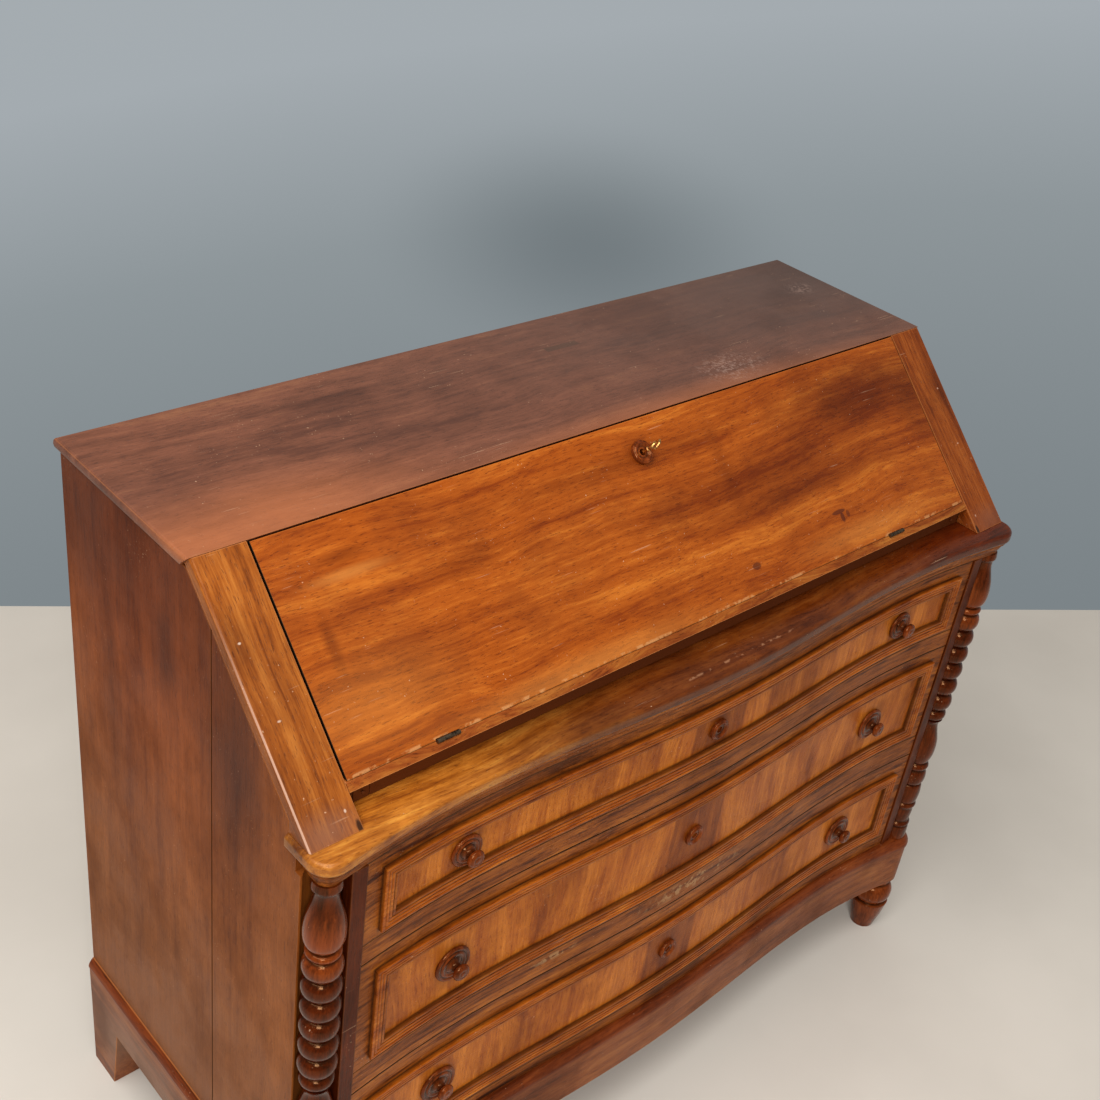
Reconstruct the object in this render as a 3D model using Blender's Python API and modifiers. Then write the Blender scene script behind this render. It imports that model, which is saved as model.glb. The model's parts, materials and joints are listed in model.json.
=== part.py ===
"""A slant-front writing bureau over three serpentine drawers, with turned corner columns.

Metres, +Z up. X runs to the right and the drawers open towards -Y. The origin is on the floor,
under the middle of the whole object. A depth is measured forward from the back of the top board,
so a point is given as its x, its depth and its height z.
"""
import math

import bmesh
import bpy
from mathutils import Matrix, Vector

# Fits
GAP = 0.0003
CURVE_GAP = 0.0009
REVEAL = 0.001
OVERRUN = 0.004
SMALL_OVERRUN = 0.0004
WELD = 0.00003

# Case
CASE_HEIGHT = 1.023
DESK_HEIGHT = 0.217
CASE_HALF_WIDTH = 0.598
FRONT_DEPTH = 0.514
TOP_DEPTH = 0.280
TOP_THICKNESS = 0.015
TOP_OVERHANG = 0.005
TOP_NOSE = 0.004
SIDE_THICKNESS = 0.022
SIDE_BACK = 0.005
SEAM_SET = 0.194
SEAM_WIDTH = 0.0012
BACK_PANEL = 0.011

# Serpentine front and round corners, set in from the sides and back from the ledge's edge
FLANK_SHARE = 0.6187
BULGE = 0.014
LEDGE_BULGE = 0.016
COLUMN_IN = 0.0217
COLUMN_SET = 0.011
LEDGE_CORNER = 0.0265
PLINTH_SET = 0.0013
PLINTH_CORNER = 0.0292
FACE_SET = 0.013
DRAWER_RISE = 0.0155
RETURN_LENGTH = 0.049
FRONT_STEPS = 24
ARC_STEPS = 6
ROUND_STEPS = 16
SMALL_STEPS = 12
PIN_STEPS = 10
BOW_STEPS = 8

# Ledge and cornice
LEDGE_THICKNESS = 0.018
LEDGE_NOSE = 0.006
CORNICE_HEIGHT = 0.022
CORNICE_INSET = 0.0125
CORNICE_DEPTH = 0.034

# Slanted front
SLANT_FOOT_SET = 0.011
STILE_WIDTH = 0.064
STILE_THICKNESS = 0.015
STILE_ROUND = 0.0035
SILL_RISE = 0.035
FALL_THICKNESS = 0.018
FALL_GAP = 0.0020
SILL_LENGTH = 0.0115
SILL_UNDERCUT = 0.010
SILL_DEPTH = 0.020
FLOOR_THICKNESS = 0.010

# Chest
DRAWER_SHARES = (0.2578, 0.3732, 0.3690)
DIVIDER_HEIGHTS = (0.029, 0.0355)
BOTTOM_RAIL = 0.020
DUST_PANEL = 0.010
GUIDE_HEIGHT = 0.012
RAIL_SET = 0.084
POST_SET = 0.074
POST_WIDTH = 0.0195
COLUMN_REBATE = 0.0238
SIDE_LIP = 0.0088

# Drawers
FRONT_THICKNESS = 0.023
BOX_BACK = 0.030
BOX_WALL = 0.010
BOX_LOWER = 0.018
BOX_BOTTOM = 0.006
BOX_GROOVE = 0.005
BOX_PLAY = 0.002
FRAME_WIDTH = 0.019
FRAME_PROUD = 0.0068
FRAME_SIDE_MARGIN = 0.0223
FRAME_TOP_MARGINS = (0.0197, 0.0210, 0.0305)
FRAME_BOTTOM_MARGINS = (0.0100, 0.0110, 0.0140)
KNOB_IN = 0.141
PLATE_RADII = (0.0213, 0.0250, 0.0262)
KNOB_LENGTH = 0.0265
KNOB_HEAD = 0.0112
DRAWER_ESCUTCHEON = 0.0140
ESCUTCHEON_HEIGHT = 0.0055
DRAWER_LOCK_WIDTH = 0.060
DRAWER_LOCK_HEIGHT = 0.046
DRAWER_LOCK_DEPTH = 0.009
DRAWER_BOLT_WIDTH = 0.014
DRAWER_BOLT_DEPTH = 0.004

# Plinth and feet
PLINTH_HEIGHT = 0.205
PLINTH_BOTTOM = 0.113
PLINTH_THICKNESS = 0.0377
PLINTH_MOULDING = 0.0175
PLINTH_SIDE = 0.030
REAR_FOOT_TOP = 0.072
REAR_FOOT_BASE = 0.056
REAR_FOOT_BLOCK = 0.030
FOOT_IN = 0.0043
FOOT_OUT = -0.001
FOOT_RADIUS = 0.0325

# Columns
COLUMN_RADIUS = 0.0228
BOBBINS = 6
BOBBIN_SHARE = 0.1498

# Desk hardware
HINGE_IN = (("left", -1, 0.129), ("right", 1, 0.162))
HINGE_WIDTH = 0.030
HINGE_KNUCKLE = 0.0027
HINGE_PIN = 0.0010
HINGE_LEAF = 0.0012
HINGE_LEAF_LENGTH = 0.018
HINGE_OFFSET = 0.0012
LOCK_ALONG = 0.0445
LOCK_HALF_WIDTH = 0.030
LOCK_LENGTH = 0.058
LOCK_INWARD = 0.007
BOLT_HALF_WIDTH = 0.015
BOLT_LENGTH = 0.020
BOLT_THICKNESS = 0.004
BOLT_INWARD = 0.0118
BOLT_TRAVEL = 0.005
KEYHOLE = 0.0045
FALL_ESCUTCHEON = 0.0155
KEY_SHANK = 0.0021
KEY_REACH = 0.022
KEY_COLLAR = 0.0032
KEY_SHOULDER = 0.0158
KEY_TIP = 0.009
KEY_BIT_WIDTH = 0.0042
KEY_BOW = 0.0075
KEY_BOW_WIRE = 0.0017
KEY_BOW_TURN = 35
SUPPORT_IN = 0.022
SUPPORT_WIDTH = 0.020
SUPPORT_LENGTH = 0.300
SUPPORT_PULL = 0.0022

# Gallery of pigeonholes
GALLERY_IN = 0.034
GALLERY_SET = 0.044
GALLERY_HEADROOM = 0.0172
GALLERY_BOARD = 0.008
CELL_SHARE = 0.4
TRAY_BACK = 0.031
TRAY_WALL = 0.006
TRAY_FRONT = 0.010
TRAY_KNOB = 0.006

# Shapes of turned and moulded profiles, as shares of their height and of their widest radius.
LEDGE_NOSE_SHARES = ((0.0, 0.5), (0.12, 0.12), (0.35, 0.0), (0.65, 0.1), (0.88, 0.5), (1.0, 1.0))
CORNICE_SHARES = (
    (0.0, 0.38), (0.17, 0.38), (0.18, 0.60), (0.40, 0.66), (0.62, 0.80), (0.80, 1.0), (1.0, 1.0))
PLINTH_SHARES = ((0.0, 0.2), (0.1, 0.0), (0.3, 0.0), (0.55, 0.18), (0.8, 0.55), (1.0, 1.0))
FRAME_SHARES = (
    (0.0, 0.0), (0.0, 0.78), (0.05, 0.90), (0.17, 0.90), (0.22, 0.72), (0.28, 0.84), (0.42, 0.84),
    (0.47, 0.68), (0.53, 0.78), (0.68, 0.76), (0.73, 0.60), (0.79, 0.72), (0.93, 0.68), (1.0, 0.50),
    (1.0, 0.0))
COLUMN_TOP_SHARES = (
    (0.000, 0.70), (0.010, 0.74), (0.018, 0.74), (0.023, 0.64), (0.036, 0.61), (0.050, 0.65),
    (0.070, 0.78), (0.092, 0.92), (0.115, 1.00), (0.138, 1.01), (0.155, 0.94), (0.166, 0.78),
    (0.172, 0.64), (0.176, 0.82), (0.182, 0.88), (0.188, 0.82), (0.192, 0.52))
COLUMN_FOOT_SHARES = (
    (0.558, 0.80), (0.568, 0.66), (0.584, 0.64), (0.606, 0.76), (0.632, 0.92), (0.656, 0.98),
    (0.682, 0.96), (0.704, 0.84), (0.716, 0.74), (0.721, 0.86), (0.728, 0.92), (0.735, 0.86),
    (0.740, 0.76), (0.752, 0.90), (0.768, 0.95), (0.784, 0.90), (0.796, 0.76), (0.802, 0.88),
    (0.830, 0.94), (0.858, 0.88), (0.864, 0.78), (0.870, 0.90), (0.877, 0.92), (0.884, 0.82),
    (0.900, 0.84), (0.925, 0.80), (0.936, 0.76), (0.942, 0.88), (0.948, 0.91), (0.954, 0.84),
    (0.962, 0.90), (1.000, 0.92))
BOBBIN_SHARES = (
    (0.0, 0.52), (0.06, 0.74), (0.20, 0.91), (0.38, 0.99), (0.62, 0.99), (0.80, 0.91), (0.94, 0.74))
FRONT_FOOT_SHARES = (
    (0.0, 0.70), (0.07, 0.76), (0.12, 0.66), (0.16, 0.84), (0.23, 0.97), (0.30, 1.0), (0.37, 0.97),
    (0.44, 0.86), (0.47, 0.80), (0.49, 0.95), (0.74, 0.82), (1.0, 0.62))
KNOB_PLATE_SHARES = (
    (0.0, 1.0), (0.08, 1.0), (0.14, 0.95), (0.17, 0.86), (0.13, 0.78), (0.18, 0.70), (0.19, 0.60),
    (0.14, 0.50))
KNOB_SHARES = (
    (0.22, 0.80), (0.32, 0.56), (0.46, 0.50), (0.56, 0.68), (0.66, 0.94), (0.78, 1.0), (0.89, 0.86),
    (0.97, 0.48))
TRAY_KNOB_SHARES = ((0.0, 2.0), (0.7, 1.9), (1.0, 1.5), (0.8, 1.0), (0.5, 0.6), (0.6, -0.3), (0.0, -0.3))
PULL_SHARES = ((0.0, 1.0), (0.8, 0.8), (1.0, 0.2), (0.6, -0.4), (0.5, -2.0), (0.0, -2.0))
TOP_NOSE_SHARES = (0.0, 0.1, 0.25, 0.5, 0.75, 0.9, 1.0)
RING_SHARES = ((0.0, 1.0), (0.45, 1.0), (0.85, 0.92), (1.0, 0.80), (0.90, 0.66), (0.45, 0.52))

LEDGE_HEIGHT = CASE_HEIGHT - DESK_HEIGHT
SLANT = math.atan2(DESK_HEIGHT, FRONT_DEPTH - SLANT_FOOT_SET - TOP_DEPTH)
FALL_LENGTH = (DESK_HEIGHT - SILL_RISE) / math.sin(SLANT)
FLANK_X = CASE_HALF_WIDTH * FLANK_SHARE
COLUMN_X = CASE_HALF_WIDTH - COLUMN_IN
COLUMN_DEPTH = FRONT_DEPTH - COLUMN_SET
PLINTH_FLANK = FRONT_DEPTH - PLINTH_SET
DRAWER_FLANK = FRONT_DEPTH - FACE_SET
FRONT_BACK = DRAWER_FLANK - FRONT_THICKNESS
RETURN_DEPTH = FRONT_DEPTH - RETURN_LENGTH
PLINTH_BACK = PLINTH_FLANK - PLINTH_THICKNESS
CENTRE_DEPTH = (COLUMN_DEPTH + PLINTH_CORNER) / 2
INSIDE_X = CASE_HALF_WIDTH - SIDE_THICKNESS
OPENING_X = CASE_HALF_WIDTH - STILE_WIDTH
POST_OUTER_X = COLUMN_X - COLUMN_REBATE
POST_INNER_X = POST_OUTER_X - POST_WIDTH
REBATE_DEPTH = COLUMN_DEPTH - COLUMN_REBATE
POST_BACK = FRONT_DEPTH - POST_SET
PANEL_FRONT = SIDE_BACK + BACK_PANEL
CASE_INSIDE_TOP = CASE_HEIGHT - TOP_THICKNESS - GAP

# Directions of a flat outline: seen from the side, from above, from the front and on the slant.
SIDE = Matrix(((0, 0, -1), (-1, 0, 0), (0, 1, 0)))
PLAN = Matrix(((1, 0, 0), (0, -1, 0), (0, 0, -1)))
FRONT = Matrix(((1, 0, 0), (0, 0, -1), (0, 1, 0)))
ON_SLANT = Matrix.Rotation(SLANT, 3, "X")
TO_FRONT = Matrix.Rotation(math.pi / 2, 3, "X")
UPRIGHT = Matrix.Identity(3)


def clear_scene():
    for old in list(bpy.data.objects):
        bpy.data.objects.remove(old)


def collection(name):
    made = bpy.data.collections.new(name)
    bpy.context.scene.collection.children.link(made)
    return made


def finish(name, hex_colour, roughness, metallic=0.0):
    """A plain shader in an sRGB colour."""
    made = bpy.data.materials.new(name)
    made.use_nodes = True
    channels = [int(hex_colour[i:i + 2], 16) / 255 for i in (1, 3, 5)]
    linear = [c / 12.92 if c <= 0.04045 else ((c + 0.055) / 1.055) ** 2.4 for c in channels]
    shader = made.node_tree.nodes["Principled BSDF"]
    shader.inputs["Base Color"].default_value = (*linear, 1.0)
    shader.inputs["Roughness"].default_value = roughness
    shader.inputs["Metallic"].default_value = metallic
    return made


clear_scene()
PARTS = collection("slant_front_bureau")
CUTTERS = collection("cutters")

CASE_WALNUT = finish("case_walnut", "#7a4a2c", 0.45)
TOP_WALNUT = finish("top_walnut", "#8b5240", 0.35)
FALL_WALNUT = finish("fall_walnut", "#a35420", 0.35)
FRONT_VENEER = finish("front_veneer", "#a06028", 0.38)
RAIL_VENEER = finish("rail_veneer", "#5c3520", 0.42)
MOULDING_WALNUT = finish("moulding_walnut", "#b5602c", 0.36)
TURNED_WALNUT = finish("turned_walnut", "#5f2c1c", 0.22)
INNER_WOOD = finish("inner_wood", "#a9865a", 0.6)
BRASS = finish("old_brass", "#a8843c", 0.35, 1.0)
IRON = finish("dark_iron", "#3b332b", 0.5, 1.0)


def world(x, depth, z):
    return Vector((x, CENTRE_DEPTH - depth, z))


def on_slant(along, inward=0.0):
    """The depth and height of a point down the slanted face and square in behind it."""
    depth = TOP_DEPTH + along * math.cos(SLANT) - inward * math.sin(SLANT)
    return depth, CASE_HEIGHT - along * math.sin(SLANT) - inward * math.cos(SLANT)


def slant_depth(z, inward=0.0):
    return TOP_DEPTH + (CASE_HEIGHT - z) / math.tan(SLANT) - inward / math.sin(SLANT)


def slant_height(depth, inward=0.0):
    return CASE_HEIGHT - (depth - TOP_DEPTH + inward / math.sin(SLANT)) * math.tan(SLANT)


def serpentine(x, flank, bulge, rise, end):
    """Depth of a front that bows out in the middle and again towards its ends."""
    reach = abs(x)
    if reach <= FLANK_X:
        return flank + bulge * (1 + math.cos(math.pi * reach / FLANK_X)) / 2
    return flank + rise * ((reach - FLANK_X) / (end - FLANK_X)) ** 2


def drawer_face(x):
    return serpentine(x, DRAWER_FLANK, BULGE, DRAWER_RISE, COLUMN_X)


def spread(low, high, steps):
    return [low + (high - low) * i / steps for i in range(steps + 1)]


def front_edge(flank, bulge, corner, inset=0.0):
    """The plan of a board's front from the left side to the right: round corners about the columns,
    joined without a kink to the serpentine."""
    radius = corner - inset
    turn = 0.0
    for _ in range(ARC_STEPS):
        end = COLUMN_X - radius * math.sin(turn)
        rise = COLUMN_DEPTH + radius * math.cos(turn) - (flank - inset)
        turn = math.atan2(2 * rise, end - FLANK_X)
    arc = [(COLUMN_X + radius * math.cos(a), COLUMN_DEPTH + radius * math.sin(a))
           for a in spread(0.0, math.pi / 2 + turn, ARC_STEPS)]
    middle = [(x, serpentine(x, flank - inset, bulge, rise, end))
              for x in spread(-end, end, FRONT_STEPS)][1:-1]
    return [(-x, depth) for x, depth in arc] + middle + arc[::-1]


def add_piece(name, mesh, material, place=Vector(), turn=UPRIGHT):
    piece = bpy.data.objects.new(name, mesh)
    piece.matrix_world = Matrix.Translation(place) @ turn.to_4x4()
    mesh.materials.append(material)
    PARTS.objects.link(piece)
    return piece


def plate(name, outlines, facing, place, thickness, material):
    """A board sawn to a flat outline, half its thickness to each side of its place. Outlines after
    the first are holes."""
    flat = bpy.data.curves.new(name, "CURVE")
    flat.dimensions = "2D"
    flat.fill_mode = "BOTH"
    flat.extrude = thickness / 2
    for outline in outlines:
        spline = flat.splines.new("POLY")
        spline.points.add(len(outline) - 1)
        for point, (across, up) in zip(spline.points, outline):
            point.co = (across, up, 0.0, 1.0)
        spline.use_cyclic_u = True
    drawn = bpy.data.objects.new(name, flat)
    PARTS.objects.link(drawn)
    bpy.context.view_layer.update()
    graph = bpy.context.evaluated_depsgraph_get()
    mesh = bpy.data.meshes.new_from_object(drawn.evaluated_get(graph))
    bpy.data.objects.remove(drawn)
    work = bmesh.new()
    work.from_mesh(mesh)
    bmesh.ops.remove_doubles(work, verts=work.verts, dist=WELD)
    bmesh.ops.recalc_face_normals(work, faces=work.faces)
    work.to_mesh(mesh)
    work.free()
    mesh.materials.clear()
    return add_piece(name, mesh, material, place, facing)


def side_plate(name, outline, x_low, x_high, material):
    place = world((x_low + x_high) / 2, 0.0, 0.0)
    return plate(name, [outline], SIDE, place, x_high - x_low, material)


def plan_plate(name, outline, z_low, z_high, material):
    place = world(0.0, 0.0, (z_low + z_high) / 2)
    return plate(name, [outline], PLAN, place, z_high - z_low, material)


def skin(name, rings, material, ends=True):
    """A surface stretched over rings of points, closed at its ends or round on itself."""
    work = bmesh.new()
    rows = [[work.verts.new(point) for point in ring] for ring in rings]
    pairs = list(zip(rows, rows[1:]))
    if not ends:
        pairs.append((rows[-1], rows[0]))
    for near, far in pairs:
        for i in range(len(near)):
            j = (i + 1) % len(near)
            work.faces.new((near[i], near[j], far[j], far[i]))
    if ends:
        work.faces.new(rows[0])
        work.faces.new(rows[-1])
    bmesh.ops.recalc_face_normals(work, faces=work.faces)
    mesh = bpy.data.meshes.new(name)
    work.to_mesh(mesh)
    work.free()
    return add_piece(name, mesh, material)


def block(name, size, place, material, turn=UPRIGHT):
    work = bmesh.new()
    bmesh.ops.create_cube(work, size=1.0)
    bmesh.ops.scale(work, vec=size, verts=work.verts)
    mesh = bpy.data.meshes.new(name)
    work.to_mesh(mesh)
    work.free()
    return add_piece(name, mesh, material, place, turn)


def board(name, x, depth, z, material):
    """A square board between two x, two depths and two heights."""
    size = (x[1] - x[0], depth[1] - depth[0], z[1] - z[0])
    place = world(sum(x) / 2, sum(depth) / 2, sum(z) / 2)
    return block(name, size, place, material)


def turned(name, profile, place, turn, material, steps=ROUND_STEPS, ring=False):
    """A piece turned about its own Z from a profile of radii and heights, top to bottom."""
    mesh = bpy.data.meshes.new(name)
    points = [(radius, 0.0, height) for radius, height in profile]
    edges = [(i, i + 1) for i in range(len(points) - 1)]
    if ring:
        edges.append((len(points) - 1, 0))
    mesh.from_pydata(points, edges, [])
    piece = add_piece(name, mesh, material, place, turn)
    screw = piece.modifiers.new("turn", "SCREW")
    screw.steps = steps
    screw.render_steps = steps
    screw.use_merge_vertices = True
    screw.merge_threshold = WELD
    return piece


def rod(name, radius, low, high, place, turn, material, steps=ROUND_STEPS):
    profile = [(0.0, high), (radius, high), (radius, low), (0.0, low)]
    return turned(name, profile, place, turn, material, steps)


def shape_with(piece, other, operation):
    PARTS.objects.unlink(other)
    CUTTERS.objects.link(other)
    other.hide_render = True
    other.display_type = "WIRE"
    step = piece.modifiers.new(other.name, "BOOLEAN")
    step.operation = operation
    step.object = other


def cut(piece, other):
    shape_with(piece, other, "DIFFERENCE")


def join(piece, other):
    shape_with(piece, other, "UNION")


def carrier(name, place, pieces):
    """An empty on a moving group's axis that carries the group."""
    empty = bpy.data.objects.new(name, None)
    empty.location = place
    PARTS.objects.link(empty)
    bpy.context.view_layer.update()
    for piece in pieces:
        piece.parent = empty
        piece.matrix_parent_inverse = empty.matrix_world.inverted()
    return empty


def make_top_board():
    half = CASE_HALF_WIDTH + TOP_OVERHANG
    rings = []
    for share in TOP_NOSE_SHARES:
        z = CASE_HEIGHT - TOP_THICKNESS * (1 - share)
        inset = TOP_NOSE * (1 - math.sqrt(1 - (2 * share - 1) ** 2))
        front = TOP_DEPTH - (CASE_HEIGHT - z) * math.tan(SLANT)
        corners = ((inset - half, inset), (half - inset, inset), (half - inset, front), (inset - half, front))
        rings.append([world(x, depth, z) for x, depth in corners])
    top = skin("top_board", rings, TOP_WALNUT)
    reach = BOLT_TRAVEL + REVEAL
    along = (REVEAL - reach) / 2
    depth, z = on_slant(along, BOLT_INWARD + BOLT_THICKNESS / 2)
    size = (2 * (BOLT_HALF_WIDTH + REVEAL), reach + REVEAL, BOLT_THICKNESS + REVEAL)
    cut(top, block("bolt_mortise_cutter", size, world(0.0, depth, z), TOP_WALNUT, ON_SLANT))


def make_sides():
    """The side boards, each with a lip at its front that is hollowed to clear the column."""
    top = CASE_INSIDE_TOP
    under = STILE_THICKNESS + GAP
    foot = PLINTH_HEIGHT + GAP
    notch = LEDGE_HEIGHT - LEDGE_THICKNESS - GAP
    lip = REBATE_DEPTH + SIDE_LIP
    lip_top = notch - CORNICE_HEIGHT - GAP
    step = RETURN_DEPTH - GAP
    outline = [
        (SIDE_BACK, foot), (lip, foot), (lip, lip_top), (REBATE_DEPTH, lip_top), (REBATE_DEPTH, notch),
        (step, notch), (step, slant_height(step, under)), (slant_depth(top, under), top), (SIDE_BACK, top)]
    hollow = COLUMN_REBATE / math.cos(math.pi / ROUND_STEPS)
    for side, name in ((-1, "left"), (1, "right")):
        inner, outer = sorted((side * INSIDE_X, side * CASE_HALF_WIDTH))
        panel = side_plate("side_" + name, outline, inner, outer, CASE_WALNUT)
        face = (side * CASE_HALF_WIDTH - SEAM_WIDTH, side * CASE_HALF_WIDTH + SEAM_WIDTH)
        seam_back = FRONT_DEPTH - SEAM_SET
        seam = board("seam_cutter_" + name, face, (seam_back, seam_back + SEAM_WIDTH),
                     (PLINTH_HEIGHT - OVERRUN, CASE_HEIGHT), CASE_WALNUT)
        cut(panel, seam)
        axis = world(side * COLUMN_X, COLUMN_DEPTH, 0.0)
        ends = (foot - OVERRUN, notch + OVERRUN)
        cut(panel, rod("hollow_cutter_" + name, hollow, *ends, axis, UPRIGHT, CASE_WALNUT))


def make_stiles():
    foot = LEDGE_HEIGHT + GAP
    for side, name in ((-1, "left"), (1, "right")):
        sections = [(OPENING_X, 0.0), (CASE_HALF_WIDTH - STILE_ROUND, 0.0)]
        for turn in (math.pi / 6, math.pi / 3, math.pi / 2):
            x = CASE_HALF_WIDTH - STILE_ROUND * (1 - math.sin(turn))
            sections.append((x, STILE_ROUND * (1 - math.cos(turn))))
        rings = []
        for x, sunk in sections:
            profile = [
                on_slant(GAP, sunk), (slant_depth(foot, sunk), foot), (RETURN_DEPTH, foot),
                (RETURN_DEPTH, slant_height(RETURN_DEPTH, STILE_THICKNESS)), on_slant(GAP, STILE_THICKNESS)]
            rings.append([world(side * x, depth, z) for depth, z in profile])
        skin("stile_" + name, rings, FALL_WALNUT)


def nosed_rings(flank, bulge, corner, z_low, z_high, deepest, shares, back, inner=None):
    """Rings of a board whose front edge is moulded: each share pair is a drop below the top and an
    inset. With an inner half width the board narrows behind the side returns."""
    rings = []
    for drop, inset in shares:
        z = z_high - (z_high - z_low) * drop
        edge = front_edge(flank, bulge, corner, inset * deepest)
        outline = [(edge[0][0], RETURN_DEPTH if inner else back)] + edge
        outline.append((edge[-1][0], RETURN_DEPTH if inner else back))
        if inner:
            outline += [(inner, RETURN_DEPTH), (inner, back), (-inner, back), (-inner, RETURN_DEPTH)]
        rings.append([world(x, depth, z) for x, depth in outline])
    return rings


def make_ledge():
    low = LEDGE_HEIGHT - LEDGE_THICKNESS
    rings = nosed_rings(FRONT_DEPTH, LEDGE_BULGE, LEDGE_CORNER, low, LEDGE_HEIGHT, LEDGE_NOSE,
                        LEDGE_NOSE_SHARES, PANEL_FRONT + GAP, INSIDE_X - GAP)
    skin("ledge_board", rings, TOP_WALNUT)
    high = low - GAP
    rings = nosed_rings(FRONT_DEPTH, LEDGE_BULGE, LEDGE_CORNER, high - CORNICE_HEIGHT, high,
                        CORNICE_INSET, CORNICE_SHARES, FRONT_DEPTH - CORNICE_DEPTH)
    skin("cornice_moulding", rings, RAIL_VENEER)
    return high - CORNICE_HEIGHT


def make_desk_floor():
    """The sill rail under the fall and the writing floor behind it, and returns the sill's top."""
    top = on_slant(FALL_LENGTH)[1] - REVEAL / 2
    nose_depth, nose = on_slant(FALL_LENGTH + SILL_LENGTH)
    riser = nose_depth - SILL_UNDERCUT
    back = riser - SILL_DEPTH
    foot = LEDGE_HEIGHT + GAP
    outline = [
        (slant_depth(top), top), (nose_depth, nose), (riser, nose), (riser, foot), (back, foot), (back, top)]
    half = OPENING_X - GAP
    sill = side_plate("sill_rail", outline, -half, half, FALL_WALNUT)
    under = top - FLOOR_THICKNESS
    support_top = under - REVEAL
    for side, name in ((-1, "left"), (1, "right")):
        reach = SUPPORT_WIDTH / 2 + REVEAL
        middle = side * (OPENING_X - SUPPORT_IN)
        edges = (middle - reach, middle + reach)
        cut(sill, board("support_notch_" + name, edges, (back - OVERRUN, riser + GAP),
                        (foot - OVERRUN, support_top + GAP), FALL_WALNUT))
    board("writing_floor", (GAP - INSIDE_X, INSIDE_X - GAP), (PANEL_FRONT + GAP, back - GAP), (under, top),
          INNER_WOOD)
    make_supports(riser, foot, support_top)
    return sill, top


def make_supports(riser, foot, top):
    """The two bars that pull out under the open fall, each with a small pin to pull it by."""
    for side, name in ((-1, "left"), (1, "right")):
        x = side * (OPENING_X - SUPPORT_IN)
        bar = board("fall_support_" + name, (x - SUPPORT_WIDTH / 2, x + SUPPORT_WIDTH / 2),
                    (riser - SUPPORT_LENGTH, riser), (foot, top), FALL_WALNUT)
        profile = [(r * SUPPORT_PULL, h * SUPPORT_PULL) for r, h in PULL_SHARES]
        place = world(x, riser + SUPPORT_PULL, (foot + top) / 2)
        join(bar, turned("support_pin_" + name, profile, place, TO_FRONT, BRASS, SMALL_STEPS))
        carrier("fall_support_" + name + "_slide", world(x, riser, foot), [bar])


def make_back():
    half = INSIDE_X - GAP
    z = (PLINTH_HEIGHT + GAP, CASE_INSIDE_TOP)
    board("back_panel", (-half, half), (SIDE_BACK, PANEL_FRONT), z, INNER_WOOD)


def make_posts(top):
    inside = INSIDE_X - GAP
    front = drawer_face(POST_OUTER_X)
    outline = [
        (POST_INNER_X, POST_BACK), (inside, POST_BACK), (inside, REBATE_DEPTH), (POST_OUTER_X, REBATE_DEPTH),
        (POST_OUTER_X, front), (POST_INNER_X, front)]
    for side, name in ((-1, "left"), (1, "right")):
        sided = [(side * x, depth) for x, depth in outline]
        plan_plate("front_post_" + name, sided, PLINTH_HEIGHT + GAP, top - GAP, RAIL_VENEER)


def column_profile(height):
    """Turned from the top down: collar, vase, ring, a run of bobbins, a small one, lower vase and foot."""
    profile = [(0.0, height)]
    profile += [(COLUMN_RADIUS * r, height * (1 - drop)) for drop, r in COLUMN_TOP_SHARES]
    start = height * (1 - COLUMN_TOP_SHARES[-1][0])
    end = height * (1 - COLUMN_FOOT_SHARES[0][0])
    pitch = (start - end) * BOBBIN_SHARE
    for i in range(BOBBINS):
        top = start - i * pitch
        profile += [(COLUMN_RADIUS * r, top - pitch * drop) for drop, r in BOBBIN_SHARES[i == 0:]]
    top = start - BOBBINS * pitch
    small = math.sqrt(COLUMN_FOOT_SHARES[0][1])
    profile += [(COLUMN_RADIUS * small * r, top - (top - end) * drop) for drop, r in BOBBIN_SHARES]
    profile += [(COLUMN_RADIUS * r, height * (1 - drop)) for drop, r in COLUMN_FOOT_SHARES]
    return profile + [(0.0, 0.0)]


def make_columns(top):
    foot = PLINTH_HEIGHT + GAP
    profile = column_profile(top - GAP - foot)
    for side, name in ((-1, "left"), (1, "right")):
        place = world(side * COLUMN_X, COLUMN_DEPTH, foot)
        turned("column_" + name, profile, place, UPRIGHT, TURNED_WALNUT, SMALL_STEPS)


def strip_plan(half, back):
    """The plan of a board with the drawers' serpentine front."""
    xs = spread(-half, half, FRONT_STEPS)
    return [(-half, back)] + [(x, drawer_face(x)) for x in xs] + [(half, back)]


def make_divider(name, low, high):
    """A dust board whose thick front edge shows between the drawers, with a guide strip glued along
    each side."""
    rail = plan_plate(name, strip_plan(POST_INNER_X - GAP, FRONT_DEPTH - RAIL_SET), low, high, RAIL_VENEER)
    inside = INSIDE_X - GAP
    guide = POST_INNER_X + GAP
    half_outline = [(inside, high - DUST_PANEL), (inside, high + GUIDE_HEIGHT), (guide, high + GUIDE_HEIGHT),
                    (guide, high - GAP)]
    outline = half_outline + [(-x, z) for x, z in reversed(half_outline)]
    back = PANEL_FRONT + GAP
    front = POST_BACK - GAP
    place = world(0.0, (back + front) / 2, 0.0)
    join(rail, plate(name + "_panel", [outline], FRONT, place, front - back, RAIL_VENEER))


def frame_ring(half, low, high, inset, proud):
    xs = spread(inset - half, half - inset, FRONT_STEPS)
    ring = [world(x, drawer_face(x) + proud, low + inset) for x in xs]
    return ring + [world(x, drawer_face(x) + proud, high - inset) for x in reversed(xs)]


def make_frame(name, half, low, high):
    """The moulding planted on a drawer front, which follows its curve."""
    rings = [frame_ring(half, low, high, FRAME_WIDTH * across, GAP + FRAME_PROUD * up)
             for across, up in FRAME_SHARES]
    return skin(name, rings, MOULDING_WALNUT, ends=False)


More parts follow.
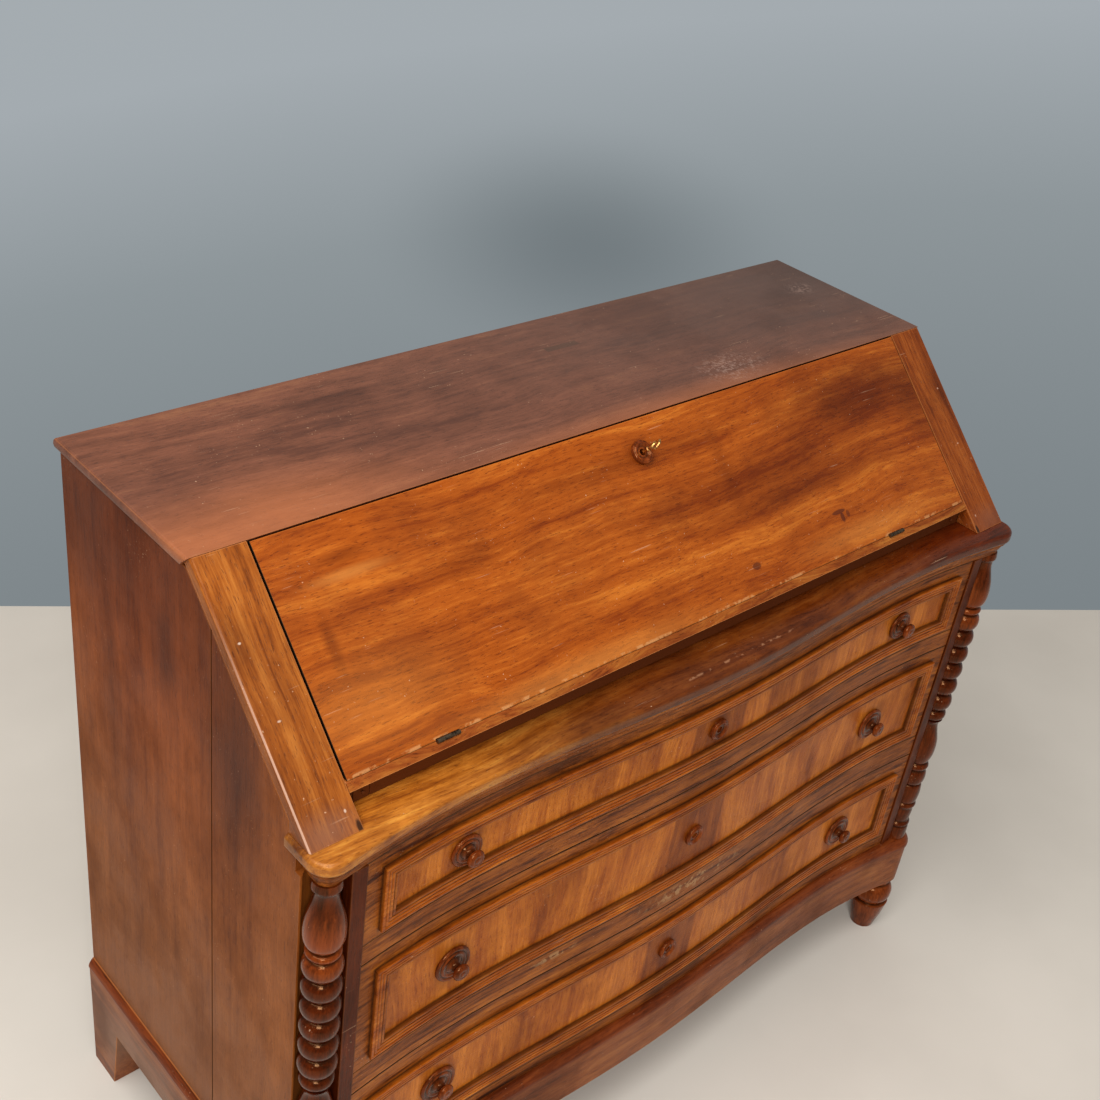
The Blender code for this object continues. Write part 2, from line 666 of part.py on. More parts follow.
def knob_profile(plate_radius):
    profile = [(0.0, KNOB_LENGTH)]
    profile += [(KNOB_HEAD * r, KNOB_LENGTH * h) for h, r in reversed(KNOB_SHARES)]
    profile += [(plate_radius * r, KNOB_LENGTH * h) for h, r in reversed(KNOB_PLATE_SHARES)]
    return profile + [(0.0, 0.0)]


def escutcheon(name, radius, hole, place, turn):
    """A turned wooden ring round a keyhole."""
    outside = [(radius * r, ESCUTCHEON_HEIGHT * h) for h, r in RING_SHARES]
    profile = [(hole, ESCUTCHEON_HEIGHT * RING_SHARES[-1][0])] + outside[::-1] + [(hole, 0.0)]
    return turned(name, profile, place, turn, TURNED_WALNUT, 14, ring=True)


def make_drawer(name, low, height, plate_radius, margins):
    half = POST_INNER_X - REVEAL
    high = low + height
    front = plan_plate(name + "_front", strip_plan(half, FRONT_BACK), low, high, FRONT_VENEER)
    frame_half = half - FRAME_SIDE_MARGIN
    frame_low = low + margins[0]
    frame_high = high - margins[1]
    frame = make_frame(name + "_moulding", frame_half, frame_low, frame_high)
    outer = half - BOX_PLAY / 2
    inner = outer - BOX_WALL
    joint = FRONT_BACK - GAP
    seat = low - REVEAL + GAP
    outline = [
        (-outer, joint), (-outer, BOX_BACK), (outer, BOX_BACK), (outer, joint), (inner, joint),
        (inner, BOX_BACK + BOX_WALL), (-inner, BOX_BACK + BOX_WALL), (-inner, joint)]
    box = plan_plate(name + "_box", outline, seat, high - BOX_LOWER, INNER_WOOD)
    floor = board(name + "_bottom", (GAP - inner, inner - GAP), (BOX_BACK + BOX_WALL + GAP, joint),
                  (seat + BOX_GROOVE, seat + BOX_GROOVE + BOX_BOTTOM), INNER_WOOD)
    middle = (frame_low + frame_high) / 2
    pieces = [front, frame, box, floor]
    knob_x = POST_INNER_X - KNOB_IN
    for side, word in ((-1, "left"), (1, "right")):
        place = world(side * knob_x, drawer_face(knob_x) + CURVE_GAP, middle)
        profile = knob_profile(plate_radius)
        pieces.append(turned(f"{name}_knob_{word}", profile, place, TO_FRONT, TURNED_WALNUT, SMALL_STEPS))
    place = world(0.0, drawer_face(0.0) + GAP, middle)
    pieces.append(escutcheon(name + "_escutcheon", DRAWER_ESCUTCHEON, KEYHOLE, place, TO_FRONT))
    pieces.append(make_drawer_lock(name, front, middle, high))
    carrier(name + "_slide", world(0.0, FRONT_BACK, low), pieces)


def make_drawer_lock(name, front, middle, high):
    """A lock let into the back of a drawer front, its bolt drawn down below the front's top edge."""
    half = DRAWER_LOCK_WIDTH / 2
    z = (middle - DRAWER_LOCK_HEIGHT / 2, middle + DRAWER_LOCK_HEIGHT / 2)
    back = (FRONT_BACK + GAP, FRONT_BACK + DRAWER_LOCK_DEPTH)
    lock = board(name + "_lock", (-half, half), back, z, IRON)
    bolt = DRAWER_BOLT_WIDTH / 2
    way = (FRONT_BACK + REVEAL, FRONT_BACK + REVEAL + DRAWER_BOLT_DEPTH)
    join(lock, board(name + "_bolt", (-bolt, bolt), way, (middle, high - GAP), IRON))
    place = world(0.0, FRONT_BACK + DRAWER_LOCK_DEPTH, middle)
    cut(lock, rod(name + "_lock_keyhole", KEYHOLE, -DRAWER_BOLT_DEPTH, OVERRUN, place, TO_FRONT, IRON,
                  SMALL_STEPS))
    cut(front, board(name + "_lock_pocket", (-half - GAP, half + GAP), (FRONT_BACK - OVERRUN, back[1] + GAP),
                     (z[0] - GAP, z[1] + GAP), IRON))
    cut(front, board(name + "_bolt_groove", (-bolt - GAP, bolt + GAP), (FRONT_BACK - REVEAL, way[1] + GAP),
                     (middle, high + OVERRUN), IRON))
    cut(front, rod(name + "_keyhole", KEYHOLE, 0.0, KNOB_LENGTH, place, TO_FRONT, IRON, SMALL_STEPS))
    return lock


def make_chest(top):
    """The drawers from the top down, the dividers between them and the board under the last."""
    names = ("upper_drawer", "middle_drawer", "lower_drawer")
    dividers = ("upper_divider", "lower_divider")
    space = top - PLINTH_HEIGHT - BOTTOM_RAIL - sum(DIVIDER_HEIGHTS) - 2 * REVEAL * len(names)
    for i, name in enumerate(names):
        height = space * DRAWER_SHARES[i]
        low = top - REVEAL - height
        make_drawer(name, low, height, PLATE_RADII[i], (FRAME_BOTTOM_MARGINS[i], FRAME_TOP_MARGINS[i]))
        rail_top = low - REVEAL
        if i < len(dividers):
            top = rail_top - DIVIDER_HEIGHTS[i]
            make_divider(dividers[i], top, rail_top)
        else:
            make_divider("bottom_board", PLINTH_HEIGHT + GAP, rail_top)


def plinth_shares():
    """The plain face below, then the moulded top."""
    height = PLINTH_HEIGHT - PLINTH_BOTTOM
    start = 1 - PLINTH_MOULDING / height
    moulded = [((1 - start) * (1 - up), inset) for up, inset in reversed(PLINTH_SHARES)]
    return moulded + [(1.0, PLINTH_SHARES[0][1])]


def make_plinth():
    deepest = PLINTH_CORNER - CASE_HALF_WIDTH + COLUMN_X
    shares = plinth_shares()
    rings = nosed_rings(PLINTH_FLANK, BULGE, PLINTH_CORNER, PLINTH_BOTTOM, PLINTH_HEIGHT, deepest, shares,
                        PLINTH_BACK)
    skin("plinth_front", rings, CASE_WALNUT)
    outer = COLUMN_X + PLINTH_CORNER
    inner = outer - PLINTH_SIDE
    depths = (SIDE_BACK, PLINTH_BACK - GAP)
    foot = [
        (depths[0], PLINTH_BOTTOM + OVERRUN), (depths[0], 0.0), (depths[0] + REAR_FOOT_BASE, 0.0),
        (depths[0] + REAR_FOOT_TOP, PLINTH_BOTTOM + OVERRUN)]
    for side, name in ((-1, "left"), (1, "right")):
        rings = []
        for drop, inset in shares:
            z = PLINTH_HEIGHT - (PLINTH_HEIGHT - PLINTH_BOTTOM) * drop
            edge = outer - inset * deepest
            corners = ((inner, depths[0]), (edge, depths[0]), (edge, depths[1]), (inner, depths[1]))
            rings.append([world(side * x, depth, z) for x, depth in corners])
        plinth = skin("plinth_" + name, rings, CASE_WALNUT)
        face = outer - PLINTH_SHARES[0][1] * deepest
        x = sorted((side * (inner - REAR_FOOT_BLOCK), side * face))
        join(plinth, side_plate("rear_foot_" + name, foot, x[0], x[1], CASE_WALNUT))
        x = sorted((side * (inner - REAR_FOOT_BLOCK + GAP), side * (inner + OVERRUN)))
        corner = (depths[0] + GAP, depths[0] + REAR_FOOT_TOP - GAP)
        z = (PLINTH_BOTTOM, PLINTH_HEIGHT - GAP)
        join(plinth, board("corner_block_" + name, x, corner, z, CASE_WALNUT))


def make_front_feet():
    height = PLINTH_BOTTOM - GAP
    profile = [(0.0, height)] + [(FOOT_RADIUS * r, height * (1 - drop)) for drop, r in FRONT_FOOT_SHARES]
    profile.append((0.0, 0.0))
    for side, name in ((-1, "left"), (1, "right")):
        place = world(side * (COLUMN_X - FOOT_IN), COLUMN_DEPTH + FOOT_OUT, 0.0)
        turned("front_foot_" + name, profile, place, UPRIGHT, TURNED_WALNUT)


def slant_block(name, half, along, inward, material):
    """A block in the slant's own directions, between two distances down it and two in behind it."""
    depth, z = on_slant(sum(along) / 2, sum(inward) / 2)
    size = (2 * half, along[1] - along[0], inward[1] - inward[0])
    return block(name, size, world(0.0, depth, z), material, ON_SLANT)


def make_fall(sill, sill_top):
    """The fall, bevelled below to sit flat on the sill, and all that it carries."""
    low = sill_top + REVEAL / 2
    outline = [
        on_slant(FALL_GAP), (slant_depth(low), low), (slant_depth(low, FALL_THICKNESS), low),
        on_slant(FALL_GAP, FALL_THICKNESS)]
    half = OPENING_X - FALL_GAP
    fall = side_plate("fall_board", outline, -half, half, FALL_WALNUT)
    pivot = pivot_place(sill_top)
    parts = [fall] + make_lock(fall)
    for name, side, inside in HINGE_IN:
        parts.append(make_hinge(name, side * (OPENING_X - inside), pivot, sill, fall, sill_top, low))
    carrier("fall_hinge", world(0.0, *pivot), parts)


def pivot_place(sill_top):
    z = sill_top + REVEAL / 4
    return slant_depth(z) + HINGE_OFFSET * math.sin(SLANT), z + HINGE_OFFSET * math.cos(SLANT)


def make_lock(fall):
    """Lock case let into the fall's inner face, its bolt, the key, and the ring on the outer face."""
    inward = (LOCK_INWARD, FALL_THICKNESS - GAP)
    case = slant_block("fall_lock", LOCK_HALF_WIDTH, (FALL_GAP, LOCK_LENGTH), inward, BRASS)
    cut(fall, slant_block("lock_pocket", LOCK_HALF_WIDTH + GAP, (FALL_GAP - OVERRUN, LOCK_LENGTH + GAP),
                          (LOCK_INWARD - GAP, FALL_THICKNESS + OVERRUN), FALL_WALNUT))
    thick = (BOLT_INWARD, BOLT_INWARD + BOLT_THICKNESS)
    bolt = slant_block("fall_lock_bolt", BOLT_HALF_WIDTH, (FALL_GAP, FALL_GAP + BOLT_LENGTH), thick, IRON)
    way = (FALL_GAP - OVERRUN, FALL_GAP + BOLT_LENGTH + GAP)
    cut(case, slant_block("bolt_way", BOLT_HALF_WIDTH + GAP, way, (thick[0] - GAP, thick[1] + GAP), BRASS))
    place = world(0.0, *on_slant(LOCK_ALONG))
    cut(fall, rod("keyhole_cutter", KEYHOLE, -LOCK_INWARD - OVERRUN, OVERRUN, place, ON_SLANT, FALL_WALNUT))
    cut(case, rod("lock_keyhole_cutter", KEYHOLE, -KEY_TIP - REVEAL, OVERRUN, place, ON_SLANT, BRASS))
    ring_place = world(0.0, *on_slant(LOCK_ALONG, -GAP))
    ring = escutcheon("fall_escutcheon", FALL_ESCUTCHEON, KEYHOLE, ring_place, ON_SLANT)
    key = make_key(place)
    carrier("fall_lock_slide", place, [bolt])
    return [case, bolt, ring, key]


def make_key(place):
    """A turned shank with a bit inside the keyhole and a round bow outside."""
    collar = KEY_SHANK / 2
    profile = [
        (0.0, KEY_REACH), (KEY_SHANK, KEY_REACH), (KEY_SHANK, KEY_SHOULDER),
        (KEY_COLLAR, KEY_SHOULDER - collar), (KEY_COLLAR, KEY_SHOULDER - KEY_SHANK),
        (KEY_SHANK, KEY_SHOULDER - KEY_SHANK - collar),
        (KEY_SHANK, -KEY_TIP), (0.0, -KEY_TIP)]
    key = turned("fall_key", profile, place, ON_SLANT, BRASS, SMALL_STEPS)
    centre = place + ON_SLANT @ Vector((0.0, 0.0, KEY_REACH + KEY_BOW - KEY_BOW_WIRE / 2))
    wire = [(KEY_BOW + KEY_BOW_WIRE * math.sin(a), KEY_BOW_WIRE * math.cos(a))
            for a in spread(0.0, 2 * math.pi, BOW_STEPS)[:-1]]
    bow_turn = ON_SLANT @ Matrix.Rotation(math.radians(KEY_BOW_TURN), 3, "Z") @ TO_FRONT
    join(key, turned("key_bow", wire, centre, bow_turn, BRASS, 16, ring=True))
    reach = KEYHOLE - REVEAL
    bit_place = place + ON_SLANT @ Vector((0.0, -reach / 2, KEY_BOW_WIRE - KEY_TIP))
    join(key, block("key_bit", (KEY_BOW_WIRE, reach, KEY_BIT_WIDTH), bit_place, BRASS, ON_SLANT))
    return key


def hinge_leaf(name, x, pivot, z, knuckles, material):
    """A flat leaf behind the knuckles, joined to its own knuckles by tongues."""
    clear = HINGE_KNUCKLE + REVEAL / 2
    low, high = z
    far = pivot[0] - clear - HINGE_LEAF_LENGTH
    width = (x - HINGE_WIDTH / 2, x + HINGE_WIDTH / 2)
    leaf = board(name, width, (far, pivot[0] - clear), (low, high), material)
    for i, (start, end) in enumerate(knuckles):
        depth = (pivot[0] - clear - REVEAL, pivot[0])
        tongue = board(f"{name}_tongue_{i}", (x + start, x + end), depth, (low, high), material)
        barrel = rod(f"{name}_knuckle_{i}", HINGE_KNUCKLE, start, end, world(x, *pivot),
                     Matrix.Rotation(math.pi / 2, 3, "Y"), material, SMALL_STEPS)
        join(leaf, tongue)
        join(leaf, barrel)
    return leaf


def make_hinge(word, x, pivot, sill, fall, sill_top, fall_low):
    """A butt hinge: two outer knuckles and the pin on the sill, one knuckle on the fall."""
    half = HINGE_WIDTH / 2
    third = HINGE_WIDTH / 6
    across = Matrix.Rotation(math.pi / 2, 3, "Y")
    place = world(x, *pivot)
    lower = hinge_leaf(f"hinge_{word}_sill_leaf", x, pivot, (sill_top - HINGE_LEAF, sill_top),
                       ((-half, -third - GAP), (third + GAP, half)), IRON)
    join(lower, rod(f"hinge_{word}_pin", HINGE_PIN, -half + GAP, half - GAP, place, across, IRON, PIN_STEPS))
    upper = hinge_leaf(f"hinge_{word}_fall_leaf", x, pivot, (fall_low, fall_low + HINGE_LEAF),
                       ((-third, third),), IRON)
    cut(upper, rod(f"hinge_{word}_bore", HINGE_PIN + GAP, -half, half, place, across, IRON, PIN_STEPS))
    far = pivot[0] - HINGE_KNUCKLE - REVEAL - HINGE_LEAF_LENGTH
    for piece, z in ((sill, (sill_top - HINGE_LEAF - GAP, sill_top + SMALL_OVERRUN)),
                     (fall, (fall_low - SMALL_OVERRUN, fall_low + HINGE_LEAF + GAP))):
        width = (x - half - GAP, x + half + GAP)
        cut(piece, board(f"{piece.name}_mortise_{word}", width, (far, pivot[0] + OVERRUN), z, IRON))
        cut(piece, rod(f"{piece.name}_barrel_way_{word}", HINGE_KNUCKLE + REVEAL / 2, -half - GAP,
                       half + GAP, place, across, IRON))
    return upper


def make_gallery(floor_top):
    """Partitions standing on the writing floor: pigeonholes, and a small drawer low at each side."""
    low = floor_top + GAP
    high = CASE_INSIDE_TOP - GALLERY_HEADROOM
    half = OPENING_X - GALLERY_IN
    front = TOP_DEPTH - GALLERY_SET
    wall = GALLERY_BOARD
    cell = (half - wall / 2 - wall - wall) / 2
    base = low + wall
    ceiling = high - wall
    outlines = [[(-half, low), (half, low), (half, high), (-half, high)]]
    for side in (-1, 1):
        near = sorted((side * wall / 2, side * (wall / 2 + cell)))
        far = sorted((side * (half - wall - cell), side * (half - wall)))
        shelf = base + (ceiling - base) * CELL_SHARE
        for x, z in ((near, (base, ceiling)), (far, (base, shelf)), (far, (shelf + wall, ceiling))):
            outlines.append([(x[0], z[0]), (x[1], z[0]), (x[1], z[1]), (x[0], z[1])])
    back = PANEL_FRONT + GAP
    place = world(0.0, (back + front) / 2, 0.0)
    plate("pigeonhole_gallery", outlines, FRONT, place, front - back, INNER_WOOD)
    for side, word in ((-1, "left"), (1, "right")):
        middle = side * (half - wall - cell / 2)
        make_tray("small_drawer_" + word, middle, cell / 2 - REVEAL, front, base + GAP, shelf - REVEAL)


def make_tray(name, x, half, front, low, high):
    """A little drawer cut from the solid, with its turned knob."""
    tray = board(name, (x - half, x + half), (TRAY_BACK, front), (low, high), INNER_WOOD)
    width = (x - half + TRAY_WALL, x + half - TRAY_WALL)
    depth = (TRAY_BACK + TRAY_WALL, front - TRAY_FRONT)
    cut(tray, board(name + "_inside", width, depth, (low + TRAY_WALL, high + OVERRUN), INNER_WOOD))
    profile = [(TRAY_KNOB * r, TRAY_KNOB * h) for r, h in TRAY_KNOB_SHARES]
    place = world(x, front, (low + high) / 2)
    join(tray, turned(name + "_knob", profile, place, TO_FRONT, TURNED_WALNUT, SMALL_STEPS))
    carrier(name + "_slide", world(x, front, low), [tray])


def make_bureau():
    make_top_board()
    make_sides()
    make_stiles()
    cornice_low = make_ledge()
    sill, floor_top = make_desk_floor()
    make_back()
    make_posts(cornice_low)
    make_columns(cornice_low)
    make_chest(cornice_low)
    make_plinth()
    make_front_feet()
    make_fall(sill, floor_top)
    make_gallery(floor_top)


make_bureau()
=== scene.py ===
import json
import math
import bmesh
import bpy
from mathutils import Matrix, Vector
from mathutils.kdtree import KDTree

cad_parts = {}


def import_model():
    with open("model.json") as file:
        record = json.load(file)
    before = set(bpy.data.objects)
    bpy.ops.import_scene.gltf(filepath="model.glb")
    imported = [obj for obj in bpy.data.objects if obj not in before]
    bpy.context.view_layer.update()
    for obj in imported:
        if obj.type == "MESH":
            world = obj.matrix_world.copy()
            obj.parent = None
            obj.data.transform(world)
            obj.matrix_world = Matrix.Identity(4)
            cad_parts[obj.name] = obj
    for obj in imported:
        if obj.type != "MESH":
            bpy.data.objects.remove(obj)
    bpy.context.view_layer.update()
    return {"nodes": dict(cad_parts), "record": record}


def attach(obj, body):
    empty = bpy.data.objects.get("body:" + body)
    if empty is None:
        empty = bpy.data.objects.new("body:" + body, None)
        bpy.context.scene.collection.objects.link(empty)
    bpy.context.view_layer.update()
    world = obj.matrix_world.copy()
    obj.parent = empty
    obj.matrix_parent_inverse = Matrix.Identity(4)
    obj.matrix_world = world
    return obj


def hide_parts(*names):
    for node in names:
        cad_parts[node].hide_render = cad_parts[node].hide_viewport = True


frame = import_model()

BODY_OF = {}
for body, members in frame["record"]["behaviour"]["bodies"].items():
    for member in members:
        BODY_OF[member] = body

# Sizes of the case, in metres: depth runs forwards from the wall, the origin lies under the middle.
# A flank is the depth where the bow of a front line ends, at FLANK_X, and a bulge is how far the
# line's middle stands out from there. GAP keeps planted pieces clear of the boards behind them
CENTRE_DEPTH = 0.2661
CASE_HEIGHT = 1.023
CASE_HALF_WIDTH = 0.598
TOP_DEPTH = 0.280
SLANT = math.atan2(0.217, 0.223)
FALL_LENGTH = 0.26097
FALL_HALF_WIDTH = 0.532
LEDGE_TOP = 0.806
LEDGE_THICKNESS = 0.018
LEDGE_FLANK = 0.514
LEDGE_BULGE = 0.016
LEDGE_CORNER = 0.0265
LEDGE_ROUND = 0.0055
RETURN_DEPTH = 0.465
INNER_HALF_WIDTH = 0.5757
INNER_BACK = 0.0163
CORNICE_HEIGHT = 0.022
CORNICE_BACK = 0.480
CORNICE_REACH = 0.0125
PLINTH_FLANK = 0.5127
PLINTH_CORNER = 0.0292
PLINTH_TOP = 0.205
PLINTH_FOOT = 0.113
PLINTH_BACK = 0.475
PLINTH_MOULDING = 0.0175
PLINTH_REACH = 0.0075
FLANK_X = 0.37
BULGE = 0.014
FACE_FLANK = 0.501
FACE_RISE = 0.0155
COLUMN_X = 0.5763
COLUMN_DEPTH = 0.503
GAP = 0.0003

# Turned pieces
COLUMN_RADIUS = 0.0228
COLUMN_FOOT = 0.2053
COLUMN_HEIGHT = 0.5601
BOBBINS = 6
BOBBIN_SHARE = 0.1498
GROOVE_SHARE = 0.52
FOOT_X = 0.572
FOOT_DEPTH = 0.502
FOOT_RADIUS = 0.0325
FOOT_HEIGHT = 0.1127
KNOB_X = 0.392
KNOB_LENGTH = 0.0225
KNOB_HEAD = 0.0112
PLATE_RADII = {"upper": 0.0213, "middle": 0.0250, "lower": 0.0262}
RING_HEIGHT = 0.0055
KEYHOLE = 0.0045
DRAWER_RING = 0.0152
FALL_RING = 0.0155
RING_ALONG = 0.0445
UPWARDS = (0, 0, 1)
FORWARDS = (0, -1, 0)

# Drawer mouldings
FRAME_HALF_WIDTH = 0.5097
FRAME_WIDTH = 0.019
FRAME_PROUD = 0.0068
FRAME_HEIGHTS = {"upper": (0.65348, 0.7450), "middle": (0.4480, 0.59148), "lower": (0.2400, 0.3690)}
# How far the painted contact shade and grime reach round the drawer mouldings
SHADE_AND_GRIME_REACH = 0.0022

# Heights where the drawers meet the rails
SEAMS = (0.2260, 0.3995, 0.4370, 0.6125, 0.6435, 0.7647)
SEAM_HALF = 0.0012

# Shapes turned or moulded, as shares of their height or width and of their reach
COLUMN_TOP_SHARES = (
    (0.000, 0.70), (0.010, 0.74), (0.018, 0.74), (0.023, 0.64), (0.036, 0.61), (0.050, 0.65),
    (0.070, 0.78), (0.092, 0.92), (0.115, 1.00), (0.138, 1.01), (0.155, 0.94), (0.166, 0.78),
    (0.172, 0.64), (0.176, 0.82), (0.182, 0.88), (0.188, 0.82), (0.192, 0.52))
COLUMN_FOOT_SHARES = (
    (0.558, 0.80), (0.568, 0.66), (0.584, 0.64), (0.606, 0.76), (0.632, 0.92), (0.656, 0.98),
    (0.682, 0.96), (0.704, 0.84), (0.716, 0.74), (0.721, 0.86), (0.728, 0.92), (0.735, 0.86),
    (0.740, 0.76), (0.752, 0.90), (0.768, 0.95), (0.784, 0.90), (0.796, 0.76), (0.802, 0.88),
    (0.830, 0.94), (0.858, 0.88), (0.864, 0.78), (0.870, 0.90), (0.877, 0.92), (0.884, 0.82),
    (0.900, 0.84), (0.925, 0.80), (0.936, 0.76), (0.942, 0.88), (0.948, 0.91), (0.954, 0.84),
    (0.962, 0.90), (1.000, 0.92))
FOOT_SHARES = (
    (0.0, 0.70), (0.07, 0.76), (0.12, 0.66), (0.16, 0.84), (0.23, 0.97), (0.30, 1.0), (0.37, 0.97),
    (0.44, 0.86), (0.47, 0.80), (0.49, 0.95), (0.51, 0.955), (0.74, 0.82), (0.97, 0.63), (1.0, 0.61))
PLATE_SHARES = (
    (0.0, 1.0), (0.07, 1.0), (0.11, 0.985), (0.15, 0.95), (0.175, 0.90), (0.165, 0.85), (0.125, 0.81),
    (0.12, 0.77), (0.16, 0.73), (0.195, 0.67), (0.19, 0.61), (0.15, 0.55), (0.14, 0.47))
KNOB_SHARES = (
    (0.22, 0.80), (0.32, 0.56), (0.46, 0.50), (0.56, 0.68), (0.66, 0.94), (0.78, 1.0), (0.89, 0.86),
    (0.95, 0.62), (0.94, 0.40), (0.97, 0.26))
RING_SHARES = (
    (0.0, 1.0), (0.40, 1.0), (0.70, 0.97), (0.86, 0.91), (0.80, 0.86), (0.94, 0.81), (1.0, 0.75),
    (0.92, 0.69), (0.66, 0.60), (0.42, 0.50))
CORNICE_SHARES = (
    (0.22, 0.0), (0.03, 0.10), (0.03, 0.12), (0.06, 0.11), (0.08, 0.11), (0.10, 0.10), (0.10, 0.08),
    (0.0, 0.21))
CORNICE_SET_SHARE = 0.38
CORNICE_BOARD_SHARE = 0.17
PLINTH_SHARES = ((0.04, 0.10), (0.14, 0.15), (0.15, 0.12), (0.22, 0.13), (0.19, 0.09), (0.26, 0.11))
PLINTH_UNDER_SHARES = ((0.06, 0.04), (0.14, 0.06))
PLINTH_BOARD_SHARES = (0.10, 0.30)
BEAD_SHARES = (0.0, 0.02, 0.06, 0.13, 0.23, 0.36, 0.5, 0.64, 0.77, 0.87, 0.94, 0.98)
FRAME_SHARES = (
    (0.0, 0.78), (0.02, 0.86), (0.06, 0.90), (0.16, 0.90), (0.20, 0.84), (0.22, 0.72), (0.26, 0.72),
    (0.28, 0.80), (0.33, 0.85), (0.39, 0.85), (0.44, 0.80), (0.46, 0.68), (0.50, 0.68), (0.52, 0.74),
    (0.58, 0.79), (0.64, 0.79), (0.70, 0.74), (0.72, 0.60), (0.76, 0.60), (0.78, 0.68), (0.84, 0.73),
    (0.92, 0.72), (0.97, 0.66), (1.0, 0.50), (1.0, 0.04))

# Steps round a turning and along a curve, angles where shading breaks, and how edges are rubbed
# and grooves told from the rest
TURN_STEPS = 56
SMALL_STEPS = 40
SWEEP = 96
ARC_STEPS = 18
EASE_STEPS = 3
SHARP_TURN = math.radians(48)
SMOOTH_ANGLE = math.radians(32)
WELD = 0.00001
SPECK = 0.002
WORN_EDGE = 0.0011
PIERCED_BOARDS = ("pigeonhole_gallery", "bottom_board", "upper_divider", "lower_divider")
SHORT_EDGE = 0.012
EDGE_PROFILE_SHARE = 0.6
FLAT_ANGLE = math.radians(0.4)
GROOVE_REACH = 0.0045
GROOVE_DEPTH = 0.0010
REED_HIGH = 0.80
REED_DEEP = 0.20
FLAT_SHARE = 0.99
LEVEL_SHARE = 0.9
WIDE_FACE = 0.05
NOSE_STEPS = 5
EDGE_STEPS = 2
TIDY_REACH = 0.0135

# Grain directions, as turns that bring the grain on to X
GRAIN_X = (0.0, 0.0, 0.0)
GRAIN_Z = (0.0, math.pi / 2, 0.0)
GRAIN_Y = (0.0, 0.0, -math.pi / 2)
GRAIN_SLOPE = (-SLANT, 0.0, -math.pi / 2)

# Woods: tones from dark to light, seed, breadth of a band and how far it wanders in metres, and how
# strong the pores and the clouds of the figure are
WOODS = {
    "case": (("#6c360f", "#7c4317", "#854a1c", "#935423"), 2.0, 0.05, 0.03, 0.4, 0.25),
    "top": (("#552f21", "#673c2a", "#734431", "#825239"), 5.0, 0.05, 0.05, 0.4, 0.2),
    "fall": (("#783008", "#8f420d", "#9d4d13", "#b4641f"), 9.0, 0.030, 0.05, 0.5, 0.12),
    "sill": (("#6a2e0c", "#834014", "#91501c", "#a46428"), 3.3, 0.02, 0.10, 0.5, 0.25),
    "stile": (("#6a320c", "#864514", "#98541c", "#ab6729"), 4.0, 0.016, 0.03, 0.5, 0.2),
    "ledge": (("#74380f", "#9c5818", "#b97126", "#d28f39"), 7.0, 0.030, 0.05, 0.5, 0.25),
    "dark": (("#532608", "#7c3f13", "#924f19", "#ad6521"), 3.0, 0.012, 0.02, 0.5, 0.15),
    "post": (("#340e02", "#471804", "#541f06", "#642809"), 6.0, 0.02, 0.03, 0.5, 0.25),
    "drawer": (("#934813", "#a75819", "#b8681e", "#cc792a"), 1.0, 0.030, 0.08, 0.5, 0.18),
    "moulding": (("#763308", "#9a4b0d", "#ab5a16", "#c17225"), 8.0, 0.010, 0.02, 0.5, 0.25),
    "plinth": (("#5b2c10", "#783c19", "#884920", "#995a2b"), 0.0, 0.020, 0.03, 0.5, 0.2),
    "turned": (("#3e1706", "#5d260c", "#723210", "#8c431b"), 1.5, 0.02, 0.03, 0.4, 0.25),
    "inner": (("#8a5a30", "#a87444", "#ba8854", "#cc9e6c"), 0.5, 0.02, 0.03, 0.15, 0.25),
}

# Polishes: seed, roughness, how much it varies, cloudiness, the clouds' shade, the shade of rubbed
# edges, and the tint and strength of the gloss
HAZE_SHADE = "#7a4a30"
RUBBED = "#c07a44"
CLEAR = "#ffffff"
AMBER = "#ffe4c2"
DEEP_AMBER = "#ffc088"
POLISHES = {
    "case": (1.0, 0.46, 0.16, 0.10, HAZE_SHADE, "#8c5630", AMBER, 0.10),
    "top": (2.0, 0.46, 0.14, 0.10, "#6a4644", "#9a6038", CLEAR, 0.45),
    "fall": (3.0, 0.40, 0.14, 0.12, HAZE_SHADE, "#a85c20", AMBER, 0.30),
    "sill": (3.6, 0.50, 0.16, 0.16, HAZE_SHADE, RUBBED, CLEAR, 0.15),
    "stile": (4.0, 0.42, 0.16, 0.14, HAZE_SHADE, "#a8683a", AMBER, 0.3),
    "ledge": (5.0, 0.30, 0.16, 0.16, HAZE_SHADE, "#b4764a", AMBER, 0.45),
    "dark": (6.0, 0.38, 0.16, 0.16, HAZE_SHADE, "#a0663a", AMBER, 0.15),
    "post": (7.0, 0.38, 0.16, 0.18, HAZE_SHADE, "#6c3c20", DEEP_AMBER, 0.15),
    "drawer": (0.0, 0.36, 0.16, 0.14, HAZE_SHADE, RUBBED, DEEP_AMBER, 0.18),
    "moulding": (8.0, 0.36, 0.16, 0.16, HAZE_SHADE, RUBBED, AMBER, 0.20),
    "plinth": (8.2, 0.42, 0.16, 0.22, HAZE_SHADE, RUBBED, AMBER, 0.20),
    "turned": (9.0, 0.13, 0.08, 0.14, HAZE_SHADE, RUBBED, DEEP_AMBER, 0.34),
    "inner": (0.3, 0.62, 0.1, 0.10, HAZE_SHADE, RUBBED, CLEAR, 0.3),
}

